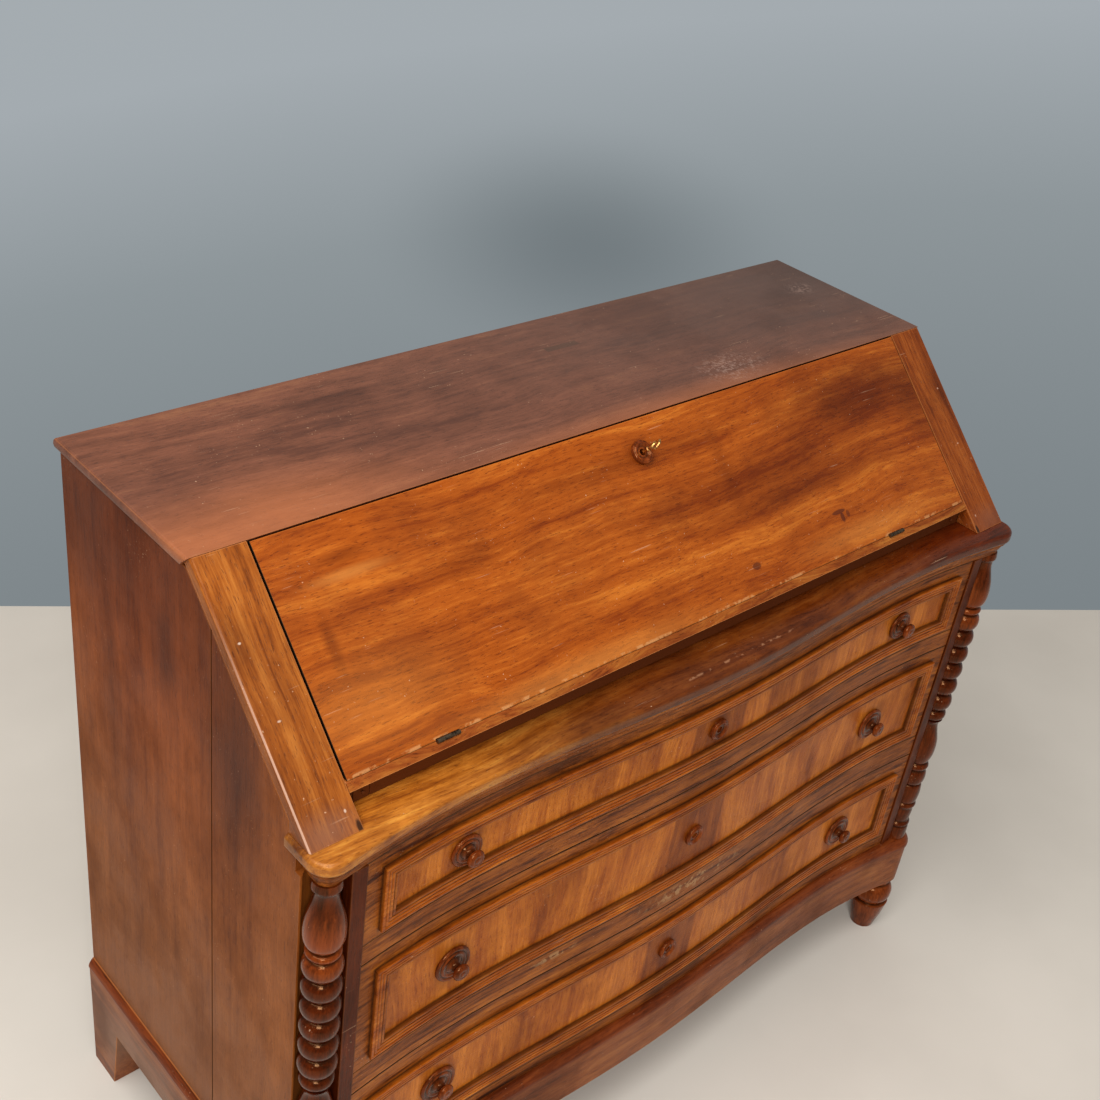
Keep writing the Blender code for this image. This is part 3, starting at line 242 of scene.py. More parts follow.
# Grain: streaks are length and width in metres, detail and shift; bands and lines take their width
# from the wood. Levels are where a mark starts and where it is full, then its strength at either
DRIFT = (3.2, 2.0, 0.5)
DRIFT_MIDDLE = (0.5, 0.5, 0.5)
BAND_LENGTH, BANDS = 0.50, (3.0, 3.1)
LINE_LENGTH, LINES = 0.26, (4.0, 7.7)
LINES_IN_BAND = 5
FIBRES = (0.022, 0.0022, 3.0, 1.9)
CLOUDS = (0.045, 0.022, 4.0, 6.2)
PORES = (0.010, 0.0012, 1.0, 4.3)
BLACK_STREAKS = (0.12, 0.010, 4.0, 8.8)
FLAMES = (0.20, 0.055, 5.0, 5.5)
PORE_LEVELS = (0.60, 0.72)
BLACK_LEVELS = (0.54, 0.70, 0.0, 0.85)
FLAME_LEVELS = (0.46, 0.72, 0.0, 0.72)
STREAK_ROUGHNESS = 0.55
STREAK_SHIFT_SHARES = (1.0, 1.7, 2.3)
SEED_SHARES = (1.0, 0.7, 1.3)
BAND_SHARE, LINE_SHARE, FIBRE_SHARE = 0.54, 0.28, 0.18
TONE_SHARES = (0.40, 0.465, 0.53, 0.61)
FIBRE_RELIEF_SHARE, PORE_RELIEF_SHARE = 0.5, 0.6
RELIEF = 0.0002
LATHE_RELIEF = 0.00008

# Shellac: noise is so many to the metre, detail and roughness
HAZES, HAZE_NOISE, HAZE_LEVELS = 6.5, (5.0, 0.6), (0.46, 0.66)
SEED_SHARE = 0.1
HAIRS, HAIR_NOISE, HAIR_LEVELS = (14.0, 420.0, 420.0), (1.0, 0.4), (0.71, 0.76)
HAIR_TURN, HAIR_SPIN = (0.4, 0.9), 0.65
SPARSE, HAIR_SPARSE_LEVELS, SPECK_SPARSE_LEVELS = (17.0, 1.0), (0.55, 0.66), (0.50, 0.60)
SPECKS, SPECK_LEVELS = 330.0, (0.74, 0.79)
HAIR_SHARE, SPECK_SHARE, WORN_SHARE = 0.26, 0.55, 0.45
PALE_MARK = "#cfa888"
DULL_LEVELS = (0.35, 0.70)
HAIR_DULL_SHARE = 0.25
SAG, SAG_SHARE = (9.0, 1.0), 2.0
CHIP_NOISE, CHIP_LEVELS = (3.0, 0.6), (0.50, 0.60)
# Grooves of mouldings and turnings are darkened: grime and painted shade in the hollows
GROOVE_DIRT_AND_SHADE_SHARES, GROOVE_DIRT_AND_SHADE = {"moulding": 0.72, "turned": 0.80}, "#1c0e08"

# Marks in the room, in groups of shade and way of mixing: x, depth, height, half sizes along the
# three, how strong and how soft
MARK_REACH = 0.1
CASE_MARKS = (
    ("#6e3c22", "darken", (
        (CASE_HALF_WIDTH, 0.225, 0.87, 0.06, 0.035, 0.085, 0.55, 0.9),
        (CASE_HALF_WIDTH, 0.10, 0.72, 0.06, 0.03, 0.22, 0.30, 0.9),
        # This row and the next: painted shade under the top's overhang
        (CASE_HALF_WIDTH, 0.04, 0.95, 0.06, 0.24, 0.16, 0.40, 1.0),
        (CASE_HALF_WIDTH, 0.25, 1.00, 0.06, 0.50, 0.26, 0.45, 1.0),
        (CASE_HALF_WIDTH, 0.365, 0.80, 0.06, 0.08, 0.22, 0.70, 1.0))),
    ("#f8b488", "darken", ((CASE_HALF_WIDTH, 0.16, 0.98, 0.06, 0.52, 0.66, 0.62, 1.0),)),
    ("#8a5c40", "mix", ((CASE_HALF_WIDTH, 0.30, 0.22, 0.08, 0.40, 0.34, 0.45, 1.0),)))
TOP_MARKS = (
    # painted sheen: the wall's grey-purple reflection over the top's right back
    ("#503e39", "mix", ((0.66, 0.06, CASE_HEIGHT, 1.15, 0.40, MARK_REACH, 0.90, 1.0),)),
    ("#6e4f4c", "darken", ((-0.30, 0.07, CASE_HEIGHT, 0.12, 0.03, MARK_REACH, 0.50, 0.9),)),
    ("#b4683a", "mix", (
        (-0.52, 0.27, CASE_HEIGHT, 0.34, 0.13, MARK_REACH, 0.55, 1.0),
        (0.10, 0.285, CASE_HEIGHT, 0.60, 0.05, MARK_REACH, 0.35, 1.0))))
SCUFF_SHARE = 0.32
TOP_SCUFFS = (
    (0.235, 0.238, CASE_HEIGHT, 0.085, 0.050, MARK_REACH, SCUFF_SHARE, 1.0),
    (0.54, 0.10, CASE_HEIGHT, 0.040, 0.026, MARK_REACH, SCUFF_SHARE, 1.0))
LEDGE_MARKS = (
    ("#6a3222", "darken", (
        (0.24, 0.50, LEDGE_TOP, 0.78, 0.14, MARK_REACH, 0.88, 0.50),
        (0.50, 0.50, LEDGE_TOP, 0.22, 0.12, MARK_REACH, 0.35, 1.0))),
    ("#5a3a28", "darken", ((-0.60, 0.475, LEDGE_TOP, 0.03, 0.04, MARK_REACH, 0.6, 1.0),)),
    ("#ffac70", "darken", ((0.58, 0.50, LEDGE_TOP, 0.34, 0.14, MARK_REACH, 0.7, 0.9),)))
CHIPPED_SHARE = 0.5
RAIL_CHIPPED = (
    (0.03, 0.53, 0.42, 0.14, MARK_REACH, 0.018, CHIPPED_SHARE, 0.7),
    (-0.22, 0.52, 0.425, 0.05, MARK_REACH, 0.008, CHIPPED_SHARE, 0.7))
PLINTH_MARKS = (("#8a6c58", "mix", ((CASE_HALF_WIDTH, 0.20, 0.10, 0.10, 0.40, 0.10, 0.60, 0.8),)),)
TURNED_MARKS = (
    ("#8e6654", "darken", (
        (COLUMN_X, COLUMN_DEPTH, 0.42, 0.06, 0.06, 0.245, 0.80, 0.12),
        (COLUMN_X, COLUMN_DEPTH, 0.74, 0.06, 0.06, 0.05, 0.70, 0.8))),
    ("#8a3c14", "mix", (
        (COLUMN_X, COLUMN_DEPTH, 0.680, 0.06, 0.06, 0.04, 0.50, 0.9),
        (COLUMN_X, FOOT_DEPTH, 0.075, 0.06, 0.06, 0.06, 0.30, 0.9))))
# Round each knob: painted shadow and grime from handling, as half sizes, strength and softness
KNOB_SHADOW_AND_HANDLING = (0.040, MARK_REACH, 0.050, 0.55, 0.9)

# Marks on the slope, in such groups: x, how far down, half length, half breadth, how strong and soft
FALL_MARKS = (
    ("#7a3a1c", "darken", (
        (0.42, 0.06, 0.22, 0.07, 0.80, 1.0), (0.20, 0.13, 0.34, 0.06, 0.42, 1.0),
        (-0.05, 0.05, 0.34, 0.02, 0.35, 1.0), (-0.44, 0.045, 0.05, 0.012, 0.35, 0.9),
        (-0.30, 0.095, 0.09, 0.03, 0.30, 1.0), (0.0, 0.045, 0.035, 0.03, 0.60, 0.9),
        (-0.49, 0.13, 0.012, 0.05, 0.45, 0.9), (0.52, 0.10, 0.05, 0.09, 0.50, 1.0),
        (0.12, 0.09, 0.02, 0.10, 0.25, 1.0), (0.25, 0.16, 0.30, 0.02, 0.30, 1.0))),
    ("#d08c44", "mix", (
        (-0.47, 0.20, 0.16, 0.08, 0.20, 1.0), (-0.20, 0.255, 0.30, 0.025, 0.30, 1.0),
        (0.33, 0.24, 0.20, 0.025, 0.25, 1.0), (-0.44, 0.065, 0.08, 0.01, 0.35, 0.9))))
FALL_SPILLS = (
    ("#4a1c10", "mix", (
        (0.283, 0.2045, 0.016, 0.0035, 0.80, 0.35), (0.287, 0.2130, 0.0045, 0.008, 0.80, 0.35),
        (0.299, 0.2110, 0.004, 0.006, 0.60, 0.35), (0.105, 0.2270, 0.009, 0.0055, 0.75, 0.35))),)
STILE_MARKS = (
    ("#8a6250", "mix", ((0.575, 0.300, 0.06, 0.035, 0.55, 1.0),)),
    ("#7a4a2c", "darken", ((0.585, 0.09, 0.03, 0.06, 0.45, 1.0),)),
    ("#e0cbb8", "mix", (
        (0.583, 0.095, 0.0024, 0.0018, 0.7, 0.7), (0.575, 0.180, 0.0030, 0.0016, 0.6, 0.7),
        (0.546, 0.286, 0.0018, 0.0026, 0.7, 0.7))))
RIGHT_STILE_MARKS = (("#c89070", "darken", ((0.565, 0.15, 0.08, 0.30, 0.6, 0.3),)),)
STILE_SPLITS = (("#24120c", "mix", ((0.5375, 0.306, 0.004, 0.010, 0.9, 0.5),)),)

# Edges, joints and scratches: places, half sizes, soft rims, chips to the metre and how strong
# GAP_SHADE is painted shade for the gaps round the fall; SEAM_SHADE paints shade into the drawers' gaps and
# also darkens the sides' glued joints
GAP_SHADE, SEAM_SHADE, SEAM_SHARE = "#120a06", "#170c07", 0.9
JOINT_DEPTH, JOINT_MIDDLE, JOINT_REACH, JOINT_HALF, JOINT_SHARE = 0.320, 0.5, 0.05, 0.0006, 0.85
TOP_CHIPS, RIM_CHIPS, SCRATCH_CHIPS, RAIL_CHIPS = 240.0, 60.0, 90.0, 110.0
LET_IN_PLACE, LET_IN_HALF = (0.066, 0.085, CASE_HEIGHT), (0.028, 0.0055, 0.01)
LET_IN_SOFT, LET_IN_SHARE = 0.0008, 0.65
# Painted shade in the gap along the fall's foot: width, soft rim and strength
FOOT_DARK, FOOT_DARK_SOFT, FOOT_DARK_SHARE = 0.0008, 0.0006, 0.85
RIM_UP, RIM_HALF, RIM_SOFT, RIM_SHARE = 0.0022, 0.0014, 0.0008, 0.6
# Width of the painted gap shade along the fall's sides and the stiles' inner edges, and its soft rim on the
# stiles
FALL_DARK, STILE_GAP_SOFT = 0.0008, 0.0006
# Below the sill's nose the colour is painted dark: painted shade under the nose
SILL_LEVELS, SILL_PAINTED_SHADE = (-0.0050, -0.0015), "#58290f"
# The stiles' pale arris line: partly rubbed wood, partly a painted highlight
ARRIS_RUB_AND_HIGHLIGHT, RUB_AND_HIGHLIGHT_SOFT = 0.0020, 0.0006
ARRIS_RADII, ARRIS_SOFT, ARRIS_SHARE = (4.0, 0.24, 0.24), 0.8, 0.55
SCRATCH_PLACE, SCRATCH_HALF = (0.016, 0.512, LEDGE_TOP), (0.10, 0.0016, 0.01)
SCRATCH_SOFT, SCRATCH_SHARE = 0.0012, 0.6
LEAF_X, LEAF_HALF, LEAF_SOFT, LEAF_SHARE = 0.004, (0.047, MARK_REACH, 0.2), 0.003, 0.60
# Strength of the painted shade and grime outside and inside the drawer mouldings
VENEER_SOFT, OUTER_SHADE_AND_GRIME_SHARE, INNER_SHADE_AND_GRIME_SHARE = 0.0005, 0.75, 0.65
BEAD_DEPTH, BEAD_SOFT, BEAD_SHARE = 0.30, 0.001, 0.55

# Metal: noise as above
FILM, FILM_LEVELS = (190.0, 4.0, 0.65), (0.42, 0.62)
FILM_DULL_LEVELS, FILM_DULL = (0.35, 0.65), 0.22
METAL_RELIEF = 0.0001

# Stage and camera: a lamp is its name, place, side and power
FLOOR_ACROSS, FLOOR_AWAY, FLOOR_EDGE = (0.8488, -0.5287), (0.5287, 0.8488, 0.0), (0.80, 0.711, 0.0)
FLOOR_LONG, FLOOR_DEEP = 14.0, 10.0
MOTTLE, MOTTLE_LEVELS, FLOOR_DULL, FLOOR_GLOSS = (2.0, 5.0), (0.3, 0.7), (0.62, 0.70), 0.2
# The wall is painted paler upwards and to the left, for the lamp's light on it, and a painted shadow lies
# behind the case
WALL_RISE, WALL_LEVELS = (-0.187, 0.116, 1.0), (-0.66, 0.10)
WALL_STOPS = ((0.0, "#7b8387"), (0.30, "#8e969a"), (0.52, "#a4abb0"), (0.76, "#a6adb1"), (1.0, "#98958f"))
SHADOW_CENTRE, SHADOW_RADII, SHADOW_SHARE = (0.668, 0.655, -0.352), (0.17, 0.15, 0.085), 0.60
LAMPS = (("lamp_above", (-1.3, -0.5, 3.6), 2.4, 105.0), ("lamp_left", (-2.2, -2.4, 2.7), 1.2, 70.0))
LAMP_AIM, LAMP_COLOUR = (0.0, 0.0, 0.6), (1.0, 0.965, 0.92)
CAMERA_YAW, CAMERA_PITCH = math.radians(45.86), math.radians(32.38)
CAMERA_RIGHT, CAMERA_UP = (0.74435, -0.65670, 0.12118), (0.28041, 0.47207, 0.83578)
CAMERA_PLACE = (-1.2007, -1.0813, 1.8378)
SENSOR, LENS = 36.0, 48.08


# Places

def world(x, depth, z):
    """A place in the room, its depth counted forwards from the wall."""
    return Vector((x, CENTRE_DEPTH - depth, z))


def on_slant(x, along, out=0.0):
    """A place on the sloping front: so far down the slope, so far out of it."""
    depth = TOP_DEPTH + along * math.cos(SLANT) + out * math.sin(SLANT)
    return world(x, depth, CASE_HEIGHT - along * math.sin(SLANT) + out * math.cos(SLANT))


def stand(x, flank=FACE_FLANK, bulge=BULGE, rise=FACE_RISE, end=COLUMN_X):
    """Depth of the serpentine front at x: it bows out in the middle and again towards the columns."""
    reach = abs(x)
    if reach <= FLANK_X:
        return flank + bulge * (1 + math.cos(math.pi * reach / FLANK_X)) / 2
    return flank + rise * ((reach - FLANK_X) / (end - FLANK_X)) ** 2


def spread(low, high, steps):
    """Even steps from low to high, with both ends."""
    return [low + (high - low) * i / steps for i in range(steps + 1)]


def front_line(flank, bulge, corner):
    """The plan of a moulded board's front edge, from left to right, with its round corners."""
    turn = 0.0
    for _ in range(ARC_STEPS):
        end = COLUMN_X - corner * math.sin(turn)
        rise = COLUMN_DEPTH + corner * math.cos(turn) - flank
        turn = math.atan2(2 * rise, end - FLANK_X)
    arc = [(COLUMN_X + corner * math.cos(a), COLUMN_DEPTH + corner * math.sin(a))
           for a in spread(0.0, math.pi / 2 + turn, ARC_STEPS)]
    middle = [(x, stand(x, flank, bulge, rise, end)) for x in spread(-end, end, SWEEP)][1:-1]
    return [(-x, depth) for x, depth in arc] + middle + arc[::-1]


# Working by hand

def only(piece):
    """Puts one piece alone on the bench."""
    if bpy.context.object and bpy.context.object.mode != "OBJECT":
        bpy.ops.object.mode_set(mode="OBJECT")
    bpy.ops.object.select_all(action="DESELECT")
    piece.select_set(True)
    bpy.context.view_layer.objects.active = piece


def open_piece(piece, kind="FACE"):
    """Opens one piece to be worked by its faces, edges or points."""
    only(piece)
    bpy.ops.object.mode_set(mode="EDIT")
    bpy.ops.mesh.select_mode(type=kind)


def draw(name, points):
    """Draws a chain of edges through points, as a profile or an outline to work up."""
    bpy.ops.object.select_all(action="DESELECT")
    bpy.ops.mesh.primitive_plane_add(size=SPECK, location=points[0])
    piece = bpy.context.object
    piece.name = name
    piece.data.name = name
    bpy.ops.object.transform_apply(location=True, rotation=True, scale=True)
    open_piece(piece, "VERT")
    bpy.ops.mesh.select_all(action="SELECT")
    bpy.ops.mesh.merge(type="CENTER")
    for start, end in zip(points, points[1:]):
        bpy.ops.mesh.extrude_vertices_move(TRANSFORM_OT_translate={"value": Vector(end) - Vector(start)})
    bpy.ops.mesh.select_all(action="SELECT")
    return piece


def pick(piece, wanted, kind="FACE"):
    """Selects the faces or edges that a test wants."""
    bpy.ops.mesh.select_mode(type=kind)
    bpy.ops.mesh.select_all(action="DESELECT")
    work = bmesh.from_edit_mesh(piece.data)
    for element in work.edges if kind == "EDGE" else work.faces:
        if wanted(element):
            element.select_set(True)
    work.select_flush_mode()
    bmesh.update_edit_mesh(piece.data)


def close_piece(piece, weigh=False):
    """Welds, turns the faces outwards and sets where the shading breaks."""
    if piece.mode != "EDIT":
        open_piece(piece)
    bpy.ops.mesh.select_all(action="SELECT")
    bpy.ops.mesh.remove_doubles(threshold=WELD)
    bpy.ops.mesh.normals_make_consistent(inside=False)
    bpy.ops.object.mode_set(mode="OBJECT")
    bpy.ops.object.shade_smooth_by_angle(angle=SMOOTH_ANGLE)
    if weigh:
        weighing = piece.modifiers.new("flat faces stay flat", "WEIGHTED_NORMAL")
        weighing.keep_sharp = True
        bpy.ops.object.modifier_apply(modifier=weighing.name)


def ease(profile):
    """Rounds a profile between its corners, which stay sharp."""
    points = [Vector((r, h)) for r, h in profile]
    steps = [b - a for a, b in zip(points, points[1:])]
    sharp = {0, len(points) - 1}
    for i in range(1, len(points) - 1):
        if steps[i - 1].length and steps[i].length and steps[i - 1].angle(steps[i]) > SHARP_TURN:
            sharp.add(i)
    eased = []
    for i in range(len(points) - 1):
        a, b = points[i], points[i + 1]
        before = b - a if i in sharp else (b - points[i - 1]) / 2
        after = b - a if i + 1 in sharp else (points[i + 2] - a) / 2
        for share in spread(0.0, 1.0, EASE_STEPS)[:-1]:
            s2, s3 = share * share, share ** 3
            place = (a * (2 * s3 - 3 * s2 + 1) + before * (s3 - 2 * s2 + share)
                     + b * (3 * s2 - 2 * s3) + after * (s3 - s2))
            eased.append((max(place.x, 0.0), place.y))
    return eased + [tuple(points[-1])]


def hollows(profile):
    """How deep each point of a profile lies in a groove: how far it is inside its neighbours' middle."""
    points = [Vector(place) for place in profile]
    downwards = 1 if points[0].y > points[-1].y else -1
    depths = []
    for i, point in enumerate(points):
        near = [other for other in points if (other - point).length < GROOVE_REACH]
        middle = sum(near, Vector((0.0, 0.0))) / len(near)
        along = points[min(i + 1, len(points) - 1)] - points[max(i - 1, 0)]
        outwards = Vector((-along.y, along.x)) * downwards
        depth = (middle - point).dot(outwards.normalized()) / GROOVE_DEPTH if outwards.length else 0.0
        depths.append(min(1.0, max(0.0, depth)))
    return depths


def turn(name, profile, foot, axis, steps=TURN_STEPS):
    """Turned on the lathe: the profile of radii and heights is drawn, then spun round its axis, and
    its grooves are marked for the finish to darken with grime and painted shade."""
    axis = Vector(axis).normalized()
    across = axis.orthogonal().normalized()
    piece = draw(name, [foot + axis * height + across * radius for radius, height in profile])
    bpy.ops.mesh.spin(steps=steps, angle=math.tau, center=foot, axis=axis)
    close_piece(piece)
    places = KDTree(len(profile))
    for i, (radius, height) in enumerate(profile):
        places.insert((radius, height, 0.0), i)
    places.balance()
    depths = hollows(profile)
    grime_and_shade = piece.data.attributes.new("hollow", "FLOAT", "POINT")
    for i, point in enumerate(piece.data.vertices):
        away = point.co - foot
        height = away.dot(axis)
        radius = (away - axis * height).length
        grime_and_shade.data[i].value = depths[places.find((radius, height, 0.0))[1]]
    return piece


def finish_piece(piece, node, material):
    """Hands a piece its finish and lets it stand for its node and move with its body."""
    piece.data.materials.clear()
    piece.data.materials.append(material)
    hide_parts(node)
    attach(piece, BODY_OF[node])


def worn_board(node, material):
    """The sawn board of the frame with its long edges rubbed round, marked for the finish to wear. A
    pierced or notched board keeps its own triangles, since one face can't run round an opening."""
    piece = bpy.data.objects.new(node + "_worn", frame["nodes"][node].data.copy())
    bpy.context.scene.collection.objects.link(piece)
    open_piece(piece, "EDGE")
    bpy.ops.mesh.select_all(action="SELECT")
    bpy.ops.mesh.remove_doubles(threshold=WELD)
    if node not in PIERCED_BOARDS:
        bpy.ops.mesh.dissolve_limited(angle_limit=FLAT_ANGLE)
    bpy.ops.mesh.select_all(action="DESELECT")
    bpy.ops.mesh.edges_select_sharp(sharpness=SMOOTH_ANGLE)
    work = bmesh.from_edit_mesh(piece.data)
    for rim in work.edges:
        if rim.select and rim.calc_length() < SHORT_EDGE:
            rim.select_set(False)
    sawn = {tuple(round(part, 2) for part in face.normal) for face in work.faces}
    bmesh.update_edit_mesh(piece.data)
    bpy.ops.mesh.bevel(offset=WORN_EDGE, segments=EDGE_STEPS, profile=EDGE_PROFILE_SHARE, clamp_overlap=False)
    work = bmesh.from_edit_mesh(piece.data)
    layer = work.faces.layers.float.new("worn")
    for face in work.faces:
        flat = max(face.normal.dot(Vector(normal)) for normal in sawn) > FLAT_SHARE
        face[layer] = 1.0 if face.select and not flat else 0.0
    bmesh.update_edit_mesh(piece.data)
    close_piece(piece, True)
    finish_piece(piece, node, material)


# Making materials

# Each node that a finish is worked from: kind, settings, inputs in order, and output
NODES = {
    "step": ("MapRange", {"interpolation_type": "SMOOTHSTEP"}, (0, 1, 2, 3, 4), 0),
    "noise": ("TexNoise", {}, ("Vector", "Scale", "Detail", "Roughness"), "Fac"),
    "drift": ("TexNoise", {}, ("Vector", "Scale", "Detail", "Roughness"), "Color"),
    "mapping": ("Mapping", {}, ("Vector", "Rotation", "Scale", "Location"), 0),
    "parts": ("SeparateXYZ", {}, (0,), 0),
    "whole": ("CombineXYZ", {}, (0, 1, 2), 0),
    "ramp": ("ValToRGB", {}, (0,), 0),
    "mix": ("Mix", {"data_type": "RGBA", "blend_type": "MIX"}, (0, 6, 7), 2),
    "darken": ("Mix", {"data_type": "RGBA", "blend_type": "MULTIPLY"}, (0, 6, 7), 2),
    "place on piece": ("TexCoord", {}, (), "Object"),
    "way seen": ("TexCoord", {}, (), "Generated"),
    "worn": ("Attribute", {"attribute_name": "worn"}, (), "Fac"),
    "hollow": ("Attribute", {"attribute_name": "hollow"}, (), "Fac"),
    "bump": ("Bump", {}, ("Height", "Distance", "Strength"), 0),
    "shader": ("BsdfPrincipled", {}, ("Base Color", "Roughness", "Normal"), 0),
    "end": ("OutputMaterial", {}, ("Surface",), 0),
}
for name, how in (("times", "MULTIPLY"), ("plus", "ADD"), ("less", "SUBTRACT"), ("larger", "MAXIMUM"),
                  ("unsigned", "ABSOLUTE")):
    NODES[name] = ("Math", {"operation": how}, (0, 1), 0)
for name, how, output in (("plus", "ADD", 0), ("less", "SUBTRACT", 0), ("times", "MULTIPLY", 0),
                          ("by", "DIVIDE", 0), ("unsigned", "ABSOLUTE", 0), ("length", "LENGTH", "Value"),
                          ("along", "DOT_PRODUCT", "Value")):
    NODES["vector " + name] = ("VectorMath", {"operation": how}, (0, 1), output)


def linear(hex_colour):
    """A screen colour as the linear light that a shader works in."""
    parts = [int(hex_colour[i:i + 2], 16) / 255 for i in (1, 3, 5)]
    return [c / 12.92 if c <= 0.04045 else ((c + 0.055) / 1.055) ** 2.4 for c in parts] + [1.0]


def add(tree, name, *inputs, stops=(), **named):
    """Adds one node of the table. Each input, in the table's order or by its name, follows the
    socket that it is given or takes the value, or the colour as hex."""
    kind, settings, order, output = NODES[name]
    node = tree.nodes.new("ShaderNode" + kind)
    for setting, value in settings.items():
        setattr(node, setting, value)
    given = dict(zip(order, inputs))
    given.update((label.replace("_", " "), value) for label, value in named.items())
    for label, value in given.items():
        if isinstance(value, bpy.types.NodeSocket):
            tree.links.new(value, node.inputs[label])
        else:
            node.inputs[label].default_value = linear(value) if isinstance(value, str) else value
    if stops:
        ramp = node.color_ramp
        while len(ramp.elements) < len(stops):
            ramp.elements.new(0.5)
        for element, (place, colour) in zip(ramp.elements, stops):
            element.position = place
            element.color = linear(colour)
    return node.outputs[output] if node.outputs else None


def begin(name):
    """An empty finish and its coordinates on the piece itself."""
    material = bpy.data.materials.new(name)
    material.use_nodes = True
    tree = material.node_tree
    tree.nodes.clear()
    return material, tree, add(tree, "place on piece")


def close(tree, colour, roughness, height, depth=RELIEF, **values):
    """Joins colour, roughness and relief into the shader. Values are the shader's own constants."""
    bump = add(tree, "bump", height, depth, 1.0)
    add(tree, "end", add(tree, "shader", colour, roughness, bump, **values))


def close_wood(tree, wood, colour, roughness, height, depth=RELIEF):
    """Joins the finish of a wood, its gloss tinted and as strong as its polish gives it."""
    tinted, strength = POLISHES[wood][-2:]
    close(tree, colour, roughness, height, depth, Specular_Tint=tinted, Specular_IOR_Level=strength)


def streaks(tree, place, length, width, detail, shift):
    """Noise drawn out along the grain: length and width of a streak in metres."""
    drawn = add(tree, "mapping", place, Scale=(1 / length, 1 / width, 1 / width),
                Location=[shift * share for share in STREAK_SHIFT_SHARES])
    return add(tree, "noise", drawn, 1.0, detail, STREAK_ROUGHNESS)


def tint(tree, colour, where, share, shade, how="mix"):
    """Lays a shade over a colour where a mask says, as strongly as the share given."""
    return add(tree, how, add(tree, "times", where, share), colour, shade)


def patch(tree, place, centre, half, soft):
    """A box of finish about a place: one inside, falling to nothing over a soft edge."""
    away = add(tree, "vector unsigned", add(tree, "vector less", place, centre))
    x, y, z = add(tree, "parts", add(tree, "vector less", away, half)).node.outputs
    far = add(tree, "larger", add(tree, "larger", x, y), z)
    return add(tree, "step", far, -soft, soft, 1.0, 0.0)


def spot(tree, place, centre, radii, soft):
    """A round or long spot of finish, fading out over its soft share."""
    away = add(tree, "vector by", add(tree, "vector less", place, centre), radii)
    return add(tree, "step", add(tree, "vector length", away), 1 - soft, 1.0, 1.0, 0.0)


def walnut(tree, place, wood, grain, shift=0.0):
    """Sawn walnut: bands of heartwood, streaks a fifth as broad, short fibres 2.2 mm across, small
    clouds, and open pores drawn 1.2 mm wide, coarser than real ones, so that they show."""
    tones, seed, broad, wave, pores, figure = WOODS[wood]
    seed += shift
    turned = add(tree, "mapping", place, grain, Location=[seed * share for share in SEED_SHARES])
    drift = add(tree, "vector less", add(tree, "drift", turned, *DRIFT), DRIFT_MIDDLE)
    drift = add(tree, "vector times", drift, (0.0, wave, wave))
    along = add(tree, "vector plus", turned, drift)
    bands = streaks(tree, along, BAND_LENGTH, broad, *BANDS)
    lines = streaks(tree, along, LINE_LENGTH, broad / LINES_IN_BAND, *LINES)
    fibres = streaks(tree, along, *FIBRES)
    clouds = streaks(tree, along, *CLOUDS)
    tone = add(tree, "times", bands, BAND_SHARE - figure)
    for pattern, share in ((lines, LINE_SHARE), (fibres, FIBRE_SHARE), (clouds, figure)):
        tone = add(tree, "plus", tone, add(tree, "times", pattern, share))
    colour = add(tree, "ramp", tone, stops=list(zip(TONE_SHARES, tones)))
    dashes = add(tree, "step", streaks(tree, along, *PORES), *PORE_LEVELS)
    colour = tint(tree, colour, dashes, pores, tones[0], "darken")
    relief = add(tree, "less", add(tree, "times", fibres, FIBRE_RELIEF_SHARE),
                 add(tree, "times", dashes, PORE_RELIEF_SHARE))
    return colour, relief, along


def shellac(tree, place, wood, colour, relief, shift=0.0):
    """Old shellac over the wood: cloudy with age, duller where rubbed, with fine pale scratches and
    specks."""
    seed, rough, dull, cloud, shade, rubbed = POLISHES[wood][:-2]
    seed += shift
    clouds = add(tree, "noise", place, HAZES + seed * SEED_SHARE, *HAZE_NOISE)
    colour = add(tree, "darken", add(tree, "step", clouds, *HAZE_LEVELS, 0.0, cloud * 2), colour, shade)
    slant = add(tree, "mapping", place, (*HAIR_TURN, HAIR_SPIN + seed), HAIRS)
    hair = add(tree, "noise", slant, 1.0, *HAIR_NOISE)
    sparse = add(tree, "noise", place, *SPARSE)
    hair = add(tree, "times", add(tree, "step", hair, *HAIR_LEVELS),
               add(tree, "step", sparse, *HAIR_SPARSE_LEVELS))
    speck = add(tree, "noise", place, SPECKS + seed, 1.0)
    speck = add(tree, "times", add(tree, "step", speck, *SPECK_LEVELS),
                add(tree, "step", sparse, *SPECK_SPARSE_LEVELS))
    marks = add(tree, "larger", add(tree, "times", hair, HAIR_SHARE), add(tree, "times", speck, SPECK_SHARE))
    colour = add(tree, "mix", marks, colour, PALE_MARK)
    colour = tint(tree, colour, add(tree, "worn"), WORN_SHARE, rubbed)
    roughness = add(tree, "step", clouds, *DULL_LEVELS, rough - dull / 2, rough + dull / 2)
    roughness = add(tree, "plus", roughness, add(tree, "times", hair, HAIR_DULL_SHARE))
    sag = add(tree, "noise", place, *SAG)
    return colour, roughness, add(tree, "plus", relief, add(tree, "times", sag, SAG_SHARE))


def in_room(rows):
    """Marks anywhere: x, depth, height, their three half sizes, how strong and how soft they are."""
    return [(world(*row[:3]), row[3:6], *row[6:]) for row in rows]


def on_slope(rows):
    """Marks on the sloping front: x, how far down, half length, half breadth, how strong and soft."""
    return [(on_slant(x, down), (long, broad, broad), share, soft)
            for x, down, long, broad, share, soft in rows]


